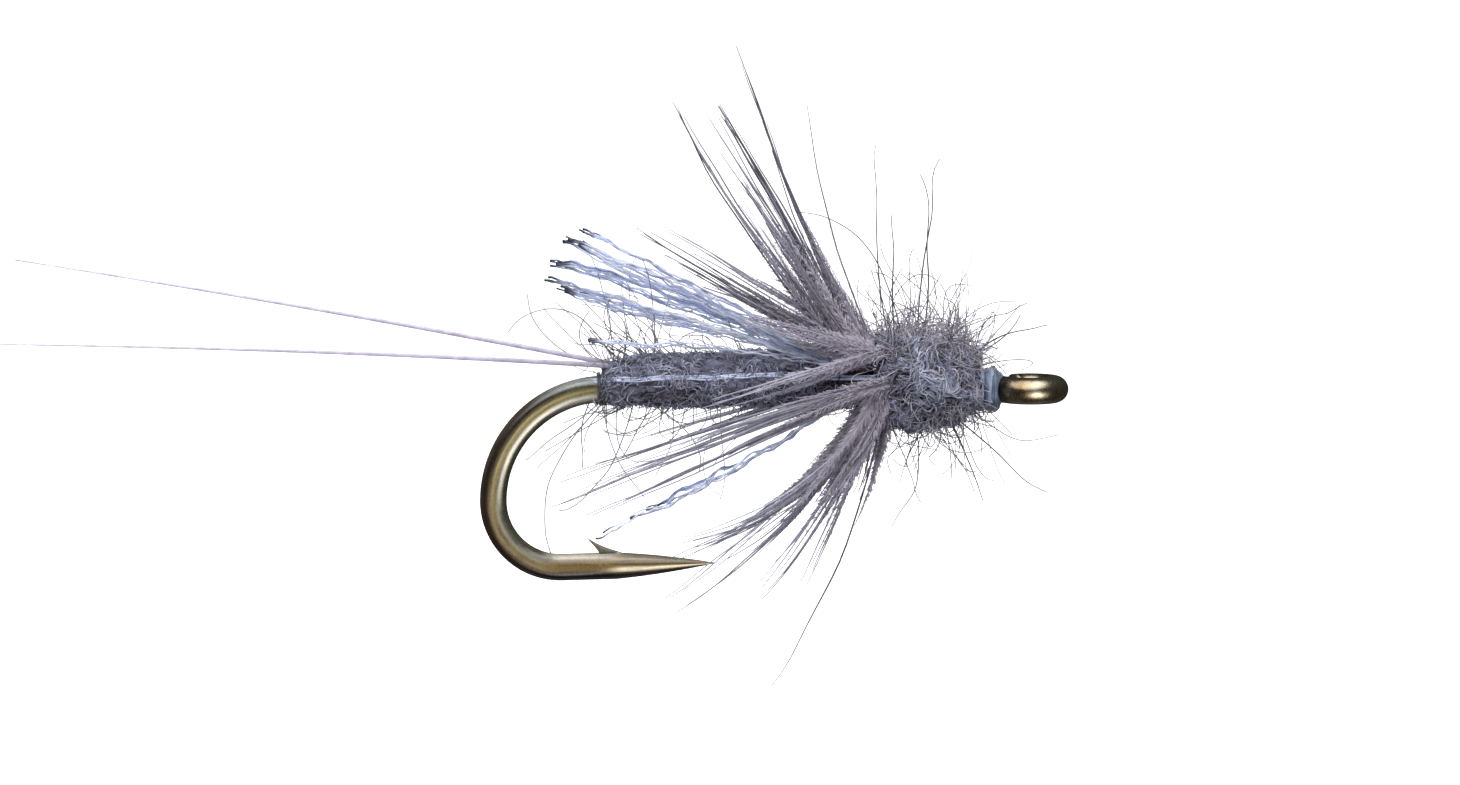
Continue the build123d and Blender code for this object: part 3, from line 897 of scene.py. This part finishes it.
# Fine hairs that curl away from the abdomen: root, control and tip of each
curl_paths = (
    ((-7.08, -0.1, -0.20), (-8.44, -0.2, -1.48), (-8.03, -0.2, -2.72)),
    ((-7.08, -0.1, -0.22), (-7.13, -0.2, -0.93), (-6.44, -0.3, -1.78)),
    ((-6.26, -0.2, -0.20), (-6.52, -0.3, -0.62), (-6.80, -0.3, -1.12)),
    ((-7.10, -0.1, -0.15), (-7.80, -0.1, -0.84), (-8.42, -0.1, -1.18)),
    ((-6.45, -0.2, -0.15), (-5.40, -0.4, -0.72), (-5.44, -0.4, -1.34)),
    ((-5.96, -0.2, -0.20), (-5.88, -0.3, -0.92), (-6.20, -0.3, -1.40)),
    ((-5.90, -0.2, -0.20), (-6.50, -0.3, -0.84), (-7.10, -0.3, -0.62)),
    ((-6.95, 0.0, 0.40), (-7.80, -0.1, 0.72), (-7.36, -0.1, 1.30)),
    ((-6.80, -0.1, 0.45), (-6.50, -0.2, 1.45), (-7.50, -0.2, 1.36)),
    ((-6.60, 0.0, 0.50), (-7.70, 0.0, 1.15), (-7.22, 0.0, 0.46)),
    ((-7.00, 0.1, 0.35), (-8.20, 0.2, 0.60), (-8.42, 0.3, 1.52)),
    ((-6.90, -0.1, 0.40), (-7.70, -0.2, 2.00), (-8.66, -0.3, 0.96)),
    ((-6.30, 0.0, 0.55), (-6.10, 0.0, 1.10), (-6.70, 0.0, 1.20)),
    ((-5.90, -0.1, 0.55), (-6.50, -0.1, 0.90), (-6.20, -0.1, 1.30)),
    ((-7.00, 0.0, 0.30), (-7.60, 0.1, -0.40), (-7.50, 0.1, -1.35)),
    ((-6.60, 0.0, -0.20), (-7.00, 0.1, -1.90), (-7.80, 0.1, -2.05)),
)


def make_abdomen():
    """Finely dubbed abdomen: packed core, tufts that wrap round it, and short loose ends."""
    low_x, high_x = abdomen_low.x - 0.03, abdomen_high.x + 0.5
    fur_core("abdomen", low_x, high_x, abdomen_at, 0.03, 5.0, 2.0)
    rng = random.Random(21)
    nap = Fibres("abdomen_nap")
    lay_tufts(
        nap,
        rng,
        number=2150,
        hairs=2,
        span=(low_x, high_x - 0.3),
        shape_at=abdomen_at,
        length=0.21,
        proud=0.07,
        wrap=0.4,
        thick=0.0095,
        seed=4.0,
        count=6,
        stray=1.6,
    )
    nap.finish("fur")
    rng = random.Random(22)
    loose = Fibres("abdomen_loose_hair")
    for _ in range(760):
        x = rng.uniform(low_x, high_x)
        length = rng.uniform(0.14, 0.36) * (1.8 if rng.random() < 0.15 else 1.0)
        points = stray_hair(rng, x, rng.uniform(0, 2 * pi), abdomen_at, length, rng.gauss(-0.3, 0.7), 0.4, 8)
        loose.lay(points, tapered(8, 0.008, 0.006), rng.uniform(0.0, 0.6))
    # long fine hairs that curl off the rear and the underside
    for _ in range(64):
        x = low_x + abs(rng.gauss(0, 1.2))
        angle = rng.choice((radians(90), radians(-90))) + rng.gauss(0, 0.35)
        points = stray_hair(rng, x, angle, abdomen_at, rng.uniform(0.7, 2.1), rng.gauss(-0.9, 0.6), 0.13, 22)
        loose.lay(points, tapered(22, 0.0095, 0.0075), rng.uniform(0.1, 0.5))
    for path in curl_paths:
        points = drifting(bowed(*map(Vector, path), 26), 0.14, 1.3, rng.uniform(0, 9))
        loose.lay(points, tapered(26, 0.0115, 0.010), rng.uniform(0.4, 0.7))
    loose.finish("guard")


# The coarsest guard hairs of the thorax: root, control and tip of each
guard_paths = (
    ((-2.3, 0.0, 0.6), (-2.75, -0.3, 2.4), (-2.53, -0.4, 4.1)),
    ((-2.25, -0.2, 0.6), (-2.35, -0.5, 1.8), (-2.34, -0.6, 2.98)),
    ((-1.85, 0.1, 0.6), (-1.95, 0.3, 2.3), (-1.41, 0.4, 3.84)),
    ((-1.80, 0.1, 0.6), (-1.55, 0.2, 2.6), (-1.86, 0.3, 3.43)),
    ((-2.1, -0.1, 0.6), (-2.5, -0.6, 3.0), (-3.9, -0.7, 3.0)),
    ((-1.1, -0.2, 0.4), (-0.7, -0.4, 1.05), (0.28, -0.5, 1.10)),
    ((-1.2, 0.1, 0.5), (-0.55, 0.2, 0.6), (-0.17, 0.2, 1.15)),
    ((-1.4, -0.2, -0.3), (-0.9, -0.4, -0.9), (0.25, -0.5, -1.6)),
    ((-1.5, -0.1, -0.3), (-1.0, -0.2, -1.0), (-0.75, -0.2, -1.85)),
    ((-2.0, -0.2, -0.3), (-1.6, -0.6, -1.5), (-2.35, -0.8, -2.3)),
)


def make_thorax():
    """Roughly dubbed thorax: lumpy core, tufts of coarse hair that swirl over it, and guard hairs."""
    low_x, high_x = thorax_low.x + 0.05, thorax_high.x - 0.06
    fur_core("thorax", low_x, high_x, thorax_core_at, 0.08, 3.4, 5.0)
    for part, seed in (("a", 31), ("b", 32)):
        tangle = Fibres("thorax_tangle_" + part)
        lay_tufts(
            tangle,
            random.Random(seed),
            number=390,
            hairs=6,
            span=(low_x, high_x),
            shape_at=thorax_at,
            length=0.55,
            proud=0.2,
            wrap=0.1,
            thick=0.013,
            seed=float(seed),
            bare=0.16,
        )
        tangle.finish("fur")
    rng = random.Random(33)
    loose = Fibres("thorax_loose_hair")
    for _ in range(2100):
        x = rng.uniform(low_x + 0.05, high_x - 0.08)
        angle = rng.uniform(0, 2 * pi)
        length = rng.uniform(0.25, 0.62) * (1.45 if sin(angle) > 0.3 else 0.85)
        points = stray_hair(rng, x, angle, thorax_at, length, rng.gauss(-0.15, 0.6), 0.36, 11)
        loose.lay(points, tapered(11, 0.0080, 0.0055), rng.uniform(0.3, 1.0))
    loose.finish("guard")
    rng = random.Random(34)
    guard = Fibres("thorax_guard_hair")
    for _ in range(190):
        up = rng.random() < 0.6
        angle = radians(90 if up else -90) + rng.gauss(0, 0.55)
        x = rng.uniform(low_x + 0.1, high_x - 0.1)
        length = rng.uniform(0.7, 1.9) * (1.2 if up and rng.random() < 0.25 else 1.0)
        points = stray_hair(rng, x, angle, thorax_at, length, rng.gauss(0.0 if up else 0.2, 0.45), 0.15, 22)
        guard.lay(points, tapered(22, rng.uniform(0.009, 0.011), 0.0075), rng.uniform(0.0, 0.5))
    for path in guard_paths:
        points = drifting(bowed(*map(Vector, path), 20), 0.16, 1.1, rng.uniform(0, 9))
        guard.lay(points, tapered(20, 0.014, 0.008, 0.4), 0.0)
    guard.finish("guard")


# ---------------------------------------------------------------- side strands and wing yarn
def crinkled(points, rng, size, wave):
    """Gives a filament the irregular kinks of textured yarn. wave is the length of one kink."""
    phase_a = rng.uniform(0, 2 * pi)
    phase_b = rng.uniform(0, 2 * pi)
    seed = rng.uniform(0, 50)
    travelled = 0.0
    kinked = []
    for i, p in enumerate(points):
        if i:
            travelled += (p - points[i - 1]).length
        grow = min(1.0, travelled / 0.8)
        swing = 2 * pi * travelled / wave
        rough = noise.noise(Vector((travelled * 2.2 + seed, seed, 0)))
        up = sin(swing + phase_a + 1.5 * rough) * (0.6 + 0.8 * rough)
        side = sin(swing * 0.83 + phase_b - rough) * 0.8
        kinked.append(p + Vector((0.15 * side, side, up)) * size * grow)
    return kinked


def make_side_strand(name, side):
    """A few parallel shiny filaments laid along one side of the abdomen."""
    rng = random.Random(41 if side < 0 else 42)
    strand = Fibres("strand_" + name, 6)
    count = 60
    start_x, end_x = abdomen_low.x - 0.22, thorax_low.x + 0.1
    for filament in range(4):
        across = (filament - 1.5) * 0.018
        points = []
        for t in spaced(count):
            x = start_x + (end_x - start_x) * t
            radius, lift = abdomen_at(min(max(x, abdomen_low.x), abdomen_high.x))
            z = lift + 0.07 + 0.05 * t + across * (1 + 0.5 * sin(5 * t + filament))
            z += 0.02 * noise.noise(Vector((x * 1.6, side, 0)))
            dip = 0.12 * max(0.0, 1 - t * count / 5)
            reach = sqrt(max(0.01, radius**2 - (z - lift) ** 2)) + 0.016 - dip
            points.append(Vector((x, side * reach, z)))
        points = crinkled(points, rng, 0.009, 0.6)
        strand.lay(points, [rng.uniform(0.010, 0.016)] * count, rng.random())
    return strand.finish("strand", ("side_strand_" + name,))


# Each ply of yarn: where it ends, the number of its filaments, and how far it sags or arches
near_plies = (
    ((-7.70, -0.9, 2.60), 6, 0.05),
    ((-7.62, -0.3, 2.44), 5, 0.0),
    ((-7.86, -0.6, 2.22), 6, 0.0),
    ((-8.08, -0.8, 1.92), 6, -0.05),
    ((-7.95, -0.4, 1.72), 5, -0.08),
    ((-7.45, -0.7, 0.86), 3, 0.10),
)
far_plies = (
    ((-7.60, 0.8, 2.68), 5, 0.05),
    ((-7.74, 0.5, 2.34), 5, 0.0),
    ((-8.02, 0.7, 2.04), 5, -0.05),
    ((-7.72, 0.9, 1.62), 5, -0.10),
)
lower_plies = (
    ((-7.14, -0.9, -2.40), 3, -0.10),
    ((-6.75, -0.8, -2.16), 3, -0.12),
    ((-6.4, 0.9, -2.1), 3, -0.1),
)


def make_yarn(name, plies, level, side, node):
    """Plies of crinkled filament fanned from the wing lashing. level is 1 above and -1 below."""
    rng = random.Random(name)
    yarn = Fibres(name)
    high = box_mm(node)[1]
    count = 90
    for place, (tip, filaments, arch) in enumerate(plies):
        root = Vector((high.x - 0.02, side * (0.08 + 0.04 * place), level * (0.4 if level > 0 else 0.2)))
        tip = Vector(tip)
        control = root.lerp(tip, 0.4) + Vector((0, 0, arch + level * 0.12))
        path = bowed(root, control, tip, count)
        path = drifting(path, 0.16, 0.6, place * 3.7 + level)
        path = crinkled(path, rng, 0.026 if level > 0 else 0.055, rng.uniform(0.7, 1.1))
        twist = rng.uniform(6.0, 10.0) * rng.choice((-1, 1))
        for _ in range(filaments):
            phase = rng.uniform(0, 2 * pi)
            spread = rng.uniform(0.02, 0.06)
            last = count - 1 - rng.choice((0, 0, 1, 2, 4))
            points = []
            for i, p in enumerate(path[: last + 1]):
                angle = phase + twist * i / count
                points.append(p + Vector((0, cos(angle), sin(angle))) * spread)
            points = crinkled(points, rng, rng.uniform(0.012, 0.022), rng.uniform(0.22, 0.4))
            thick = rng.uniform(0.012, 0.018)
            radii = [thick] * len(points)
            radii[-2:] = [thick * 1.2, thick * 1.2]
            yarn.lay(points, radii, rng.random())
    return yarn.finish("yarn", (node,))


# ---------------------------------------------------------------- hackle
# Each lock of barbs: root, control and tip of its middle, its half-breadth at the root and at the tip,
# the number of barbs, the share of the lock that the shortest covers, its tone, and a barb's radius. The
# tone
# is partly painted light and shade: darker for the top and back locks, paler for the near and throat locks.
top_locks = (
    ((-2.85, -0.1, 0.4), (-4.90, -0.3, 2.60), (-5.99, -0.5, 4.90), 0.16, 0.14, 5, 0.80, 0.35, 0.015),
    ((-2.80, 0.1, 0.4), (-4.35, 0.1, 2.50), (-5.60, 0.3, 4.45), 0.18, 0.30, 10, 0.66, 0.4, 0.015),
    ((-2.75, 0.0, 0.4), (-3.90, -0.2, 2.60), (-5.34, -0.3, 5.05), 0.18, 0.16, 8, 0.72, 0.25, 0.016),
    ((-2.65, 0.1, 0.4), (-4.05, 0.2, 2.90), (-4.82, 0.3, 5.42), 0.16, 0.10, 6, 0.66, 0.3, 0.016),
    ((-2.65, -0.1, 0.4), (-3.95, -0.1, 2.80), (-4.95, -0.2, 5.76), 0.05, 0.04, 2, 0.96, 0.3, 0.012),
    ((-2.75, 0.0, 0.4), (-3.60, 0.0, 1.70), (-4.40, 0.0, 3.00), 0.26, 0.50, 24, 0.40, 0.5, 0.013),
    ((-2.50, 0.0, 0.5), (-3.40, -0.1, 2.30), (-3.73, -0.2, 4.82), 0.02, 0.02, 1, 0.98, 0.3, 0.014),
    ((-2.75, 0.3, 0.3), (-3.90, 1.2, 2.10), (-5.10, 1.9, 3.90), 0.18, 0.40, 12, 0.60, 0.5, 0.015),
)
back_locks = (
    ((-2.60, -0.3, 0.45), (-4.45, -0.7, 1.55), (-6.57, -0.9, 2.80), 0.10, 0.10, 6, 0.72, 0.15, 0.016),
    ((-2.60, -0.3, 0.40), (-4.40, -0.6, 1.35), (-6.30, -0.8, 2.48), 0.12, 0.14, 6, 0.60, 0.3, 0.015),
    ((-2.55, -0.4, 0.55), (-3.60, -0.7, 0.90), (-4.90, -0.9, 1.25), 0.12, 0.22, 16, 0.40, 0.5, 0.013),
    ((-2.60, 0.3, 0.45), (-4.30, 0.9, 1.50), (-6.20, 1.4, 2.50), 0.14, 0.30, 10, 0.55, 0.4, 0.015),
    ((-2.55, 0.45, 0.4), (-3.80, 1.2, 0.95), (-5.60, 1.8, 1.40), 0.14, 0.30, 10, 0.55, 0.5, 0.015),
)
near_locks = (
    ((-2.40, -0.45, 0.70), (-3.75, -1.2, 0.26), (-5.95, -1.6, -0.38), 0.04, 0.14, 8, 0.60, 0.65, 0.018),
    ((-2.20, -0.60, 0.20), (-4.10, -1.3, -0.10), (-6.90, -2.0, -1.12), 0.04, 0.12, 6, 0.75, 0.60, 0.019),
    ((-2.25, -0.60, 0.17), (-4.10, -1.3, -0.28), (-7.98, -2.2, -1.76), 0.04, 0.10, 4, 0.86, 0.60, 0.019),
    ((-2.30, -0.58, 0.14), (-4.20, -1.2, -0.50), (-7.42, -2.0, -1.94), 0.04, 0.10, 4, 0.84, 0.55, 0.018),
    ((-2.30, -0.55, 0.16), (-4.00, -1.1, -0.25), (-5.60, -1.6, -1.05), 0.05, 0.24, 9, 0.50, 0.65, 0.015),
)
throat_locks = (
    ((-2.42, -0.40, 0.14), (-3.30, -0.9, -1.95), (-5.90, -1.3, -2.46), 0.07, 0.22, 8, 0.76, 0.6, 0.018),
    ((-2.45, -0.35, 0.10), (-3.42, -0.8, -1.90), (-6.12, -1.1, -2.74), 0.06, 0.12, 5, 0.86, 0.5, 0.017),
    ((-2.60, -0.30, 0.05), (-3.70, -0.6, -1.90), (-6.08, -0.9, -3.50), 0.08, 0.08, 3, 0.85, 0.6, 0.017),
    ((-2.60, -0.25, 0.00), (-3.60, -0.5, -2.30), (-6.08, -0.7, -3.80), 0.06, 0.04, 2, 0.90, 0.5, 0.016),
    ((-2.50, -0.30, 0.00), (-3.30, -0.6, -2.20), (-4.80, -0.9, -3.65), 0.10, 0.14, 6, 0.70, 0.6, 0.018),
    ((-2.50, -0.30, 0.00), (-3.15, -0.5, -1.90), (-3.99, -0.7, -3.45), 0.08, 0.10, 4, 0.75, 0.6, 0.017),
    ((-2.40, -0.40, 0.10), (-2.80, -0.9, -0.90), (-3.75, -1.1, -2.00), 0.10, 0.34, 28, 0.55, 0.65, 0.014),
    ((-2.45, -0.20, -0.2), (-2.55, -0.3, -1.30), (-3.00, -0.4, -2.30), 0.10, 0.14, 8, 0.50, 0.5, 0.014),
    ((-2.45, -0.20, -0.2), (-2.85, -0.4, -2.90), (-4.37, -0.6, -4.95), 0.01, 0.01, 1, 0.99, 0.0, 0.020),
    ((-2.60, 0.30, -0.10), (-3.50, 0.9, -1.90), (-5.40, 1.4, -2.90), 0.12, 0.34, 14, 0.60, 0.6, 0.017),
    ((-2.60, 0.10, -0.20), (-3.40, 0.3, -1.80), (-4.70, 0.5, -3.10), 0.12, 0.30, 12, 0.50, 0.5, 0.016),
)


def mirrored(locks):
    """The same locks swept back along the far side, a little lower."""
    return tuple(tuple((x, -y, z - 0.02) for x, y, z in lock[:3]) + lock[3:] for lock in locks)


def make_locks(side, locks):
    """The barbs of one side of the hackle, gathered in locks, with soft web along their lower half."""
    node = "hackle_barbs_" + side
    rng = random.Random(node)
    barbs = Fibres("barb_locks_" + side)
    web = Fibres("barb_web_" + side)
    count = 18
    for root, control, tip, root_breadth, tip_breadth, number, shortest, tone, thick in locks:
        root, control, tip = Vector(root), Vector(control), Vector(tip)
        run = (tip - root).normalized()
        across = run.cross(Vector((0, 1, 0))).normalized()
        depth = across.cross(run)
        clumps = [Vector((rng.uniform(-1, 1), rng.uniform(-1, 1))) for _ in range(1 + number // 4)]
        for barb in range(number * 3):
            fluff = barb >= number
            own = Vector((rng.uniform(-1, 1), rng.uniform(-1, 1)))
            clump = min(clumps, key=lambda c: (c - own).length)
            put = own.lerp(clump, rng.uniform(0.2, 0.9))
            aside = across * put.x + depth * put.y
            start = root + (across * own.x + depth * own.y) * root_breadth
            middle = control + aside * (root_breadth * 0.7 + tip_breadth * 0.5)
            end = tip + aside * tip_breadth
            share = rng.uniform(0.16, 0.5) if fluff else rng.uniform(shortest, 1.0)
            cut_end = start.lerp(middle, share).lerp(middle.lerp(end, share), share)
            points = bowed(start, start.lerp(middle, share), cut_end, count)
            points = drifting(points, 0.14 if fluff else 0.08, 0.8, rng.uniform(0, 9))
            own_tone = tone + rng.gauss(0.1 if fluff else 0.0, 0.16)
            if fluff:
                barbs.lay(points, tapered(count, thick * 0.6, 0.005), own_tone, share)
            else:
                radii = tapered(count, thick * rng.uniform(0.9, 1.2), 0.007, 0.55)
                barbs.lay(points, radii, own_tone, share)
                lay_web(web, rng, points, own_tone)
    web.finish("web")
    return barbs.finish("barb", (node,))


def lay_web(web, rng, points, tone):
    """Adds the fine barbules that stand out on both sides of a barb, dense near its root."""
    plane = Vector([rng.gauss(0, 1) for _ in range(3)])
    length = (points[-1] - points[0]).length
    webbed = min(len(points) - 1, int(len(points) * 2.6 / length))
    for i in range(webbed):
        here, after = points[i], points[i + 1]
        along = (after - here).normalized()
        across = along.cross(plane).normalized()
        fade = 1 - i / webbed
        for _ in range(2 + int(6 * fade)):
            for way in (-1, 1):
                start = here.lerp(after, rng.random())
                reach = (0.06 + 0.22 * fade) * rng.uniform(0.5, 1.1)
                heading = (along + across * way * rng.uniform(0.3, 0.95)).normalized()
                web.lay([start, start + heading * reach], [0.0055, 0.004], tone)


# ---------------------------------------------------------------- dress the hook
make_hook()
make_shank_thread()
make_head()
make_tail("near", -1, near_tail_low, near_tail_high)
make_tail("far", 1, far_tail_low, far_tail_high)
make_abdomen()
make_side_strand("near", -1)
make_side_strand("far", 1)
make_yarn("wing_plies_near", near_plies, 1, -1, "wing_yarn_near")
make_yarn("wing_plies_far", far_plies, 1, 1, "wing_yarn_far")
make_yarn("wing_plies_lower", lower_plies, -1, -0.6, "wing_yarn_lower")
make_locks("top", top_locks)
make_locks("back", back_locks)
make_locks("near", near_locks)
make_locks("far", mirrored(near_locks))
make_locks("throat", throat_locks)
make_thorax()


# ---------------------------------------------------------------- studio
def make_floor():
    """A wide pale floor far below the fly, which hangs by its eye."""
    bm = bmesh.new()
    sunk = Matrix.Translation((0, 0, -28 * MM))
    bmesh.ops.create_grid(bm, x_segments=1, y_segments=1, size=4.0, matrix=sunk)
    mesh = bpy.data.meshes.new("floor")
    bm.to_mesh(mesh)
    bm.free()
    floor = bpy.data.objects.new("floor", mesh)
    bpy.context.collection.objects.link(floor)
    material, _, shader = new_material("floor_white", 0.9)
    shader.inputs["Base Color"].default_value = (0.9, 0.9, 0.9, 1)
    shader.inputs["Emission Color"].default_value = (1, 1, 1, 1)
    shader.inputs["Emission Strength"].default_value = 0.55
    mesh.materials.append(material)
    floor.visible_glossy = False
    floor.visible_diffuse = False


def make_light(name, place, target, size, power):
    """A soft square lamp aimed at the fly, with its places and size in millimetres."""
    data = bpy.data.lights.new(name, "AREA")
    data.size = size * MM
    data.energy = power
    lamp = bpy.data.objects.new(name, data)
    lamp.visible_glossy = False
    bpy.context.collection.objects.link(lamp)
    lamp.location = Vector(place) * MM
    lamp.rotation_mode = "QUATERNION"
    lamp.rotation_quaternion = (Vector(target) - Vector(place)).to_track_quat("-Z", "Y")


def make_world():
    """White behind the fly and a soft sky that fades towards the floor. For the wire's reflections
    it is a dim room with a bright ceiling and a low reflector in front."""
    world = bpy.data.worlds.new("studio")
    bpy.context.scene.world = world
    world.use_nodes = True
    tree = world.node_tree
    ground = tree.nodes["Background"]
    ground.inputs["Color"].default_value = (1, 1, 1, 1)
    way = tree.nodes.new("ShaderNodeTexCoord")

    def by_angle(towards, stops):
        """Grey that depends on how closely a direction points towards a place."""
        facing = tree.nodes.new("ShaderNodeVectorMath")
        facing.operation = "DOT_PRODUCT"
        facing.inputs[1].default_value = Vector(towards).normalized()
        tree.links.new(way.outputs["Generated"], facing.inputs[0])
        share = remapped(tree, facing.outputs["Value"], start=-1.0)
        return ramped(tree, share, [(place, (grey,) * 3 + (1,)) for place, grey in stops])

    sky = by_angle((0, 0, 1), ((0.0, 0.34), (0.42, 0.46), (0.9, 1.3)))
    overhead = ((0.0, 0.16), (0.08, 0.04), (0.3, 0.02), (0.84, 0.04), (0.9, 2.4), (1.0, 3.4))
    ceiling = by_angle((-0.1, -0.5, 1), overhead)
    in_front = ((0.0, 0.0), (0.88, 0.03), (0.955, 0.5), (0.975, 3.5), (1.0, 4.0))
    reflector = by_angle((0.30, -0.82, -0.48), in_front)
    room = mixed(tree, 1.0, ceiling, reflector, "ADD")
    rays = tree.nodes.new("ShaderNodeLightPath")
    lit = mixed(tree, rays.outputs["Is Glossy Ray"], sky, room)
    white = tree.nodes.new("ShaderNodeRGB")
    white.outputs["Color"].default_value = (1, 1, 1, 1)
    seen = mixed(tree, rays.outputs["Is Camera Ray"], lit, white.outputs["Color"])
    tree.links.new(seen, ground.inputs["Color"])


def make_camera():
    """A long lens level with the fly and a little above it."""
    lens, sensor, width = 200.0, 36.0, 24.33
    distance = width * lens / sensor
    elevation = radians(5.5)
    target = Vector((-5.0, 0, -0.06))
    back = Vector((0, -cos(elevation), sin(elevation)))
    data = bpy.data.cameras.new("camera")
    data.lens = lens
    data.sensor_width = sensor
    data.clip_start = 0.005
    data.clip_end = 20
    camera = bpy.data.objects.new("camera", data)
    bpy.context.collection.objects.link(camera)
    camera.location = (target + back * distance) * MM
    camera.rotation_mode = "QUATERNION"
    camera.rotation_quaternion = (-back).to_track_quat("-Z", "Y")
    bpy.context.scene.camera = camera


make_floor()
make_world()
middle = (-5, 0, 0)
make_light("overhead", (-20, -60, 260), middle, 150, 0.8)
make_light("front_fill", (-60, -230, 90), middle, 90, 0.22)
make_camera()
bpy.context.scene.view_settings.view_transform = "Standard"
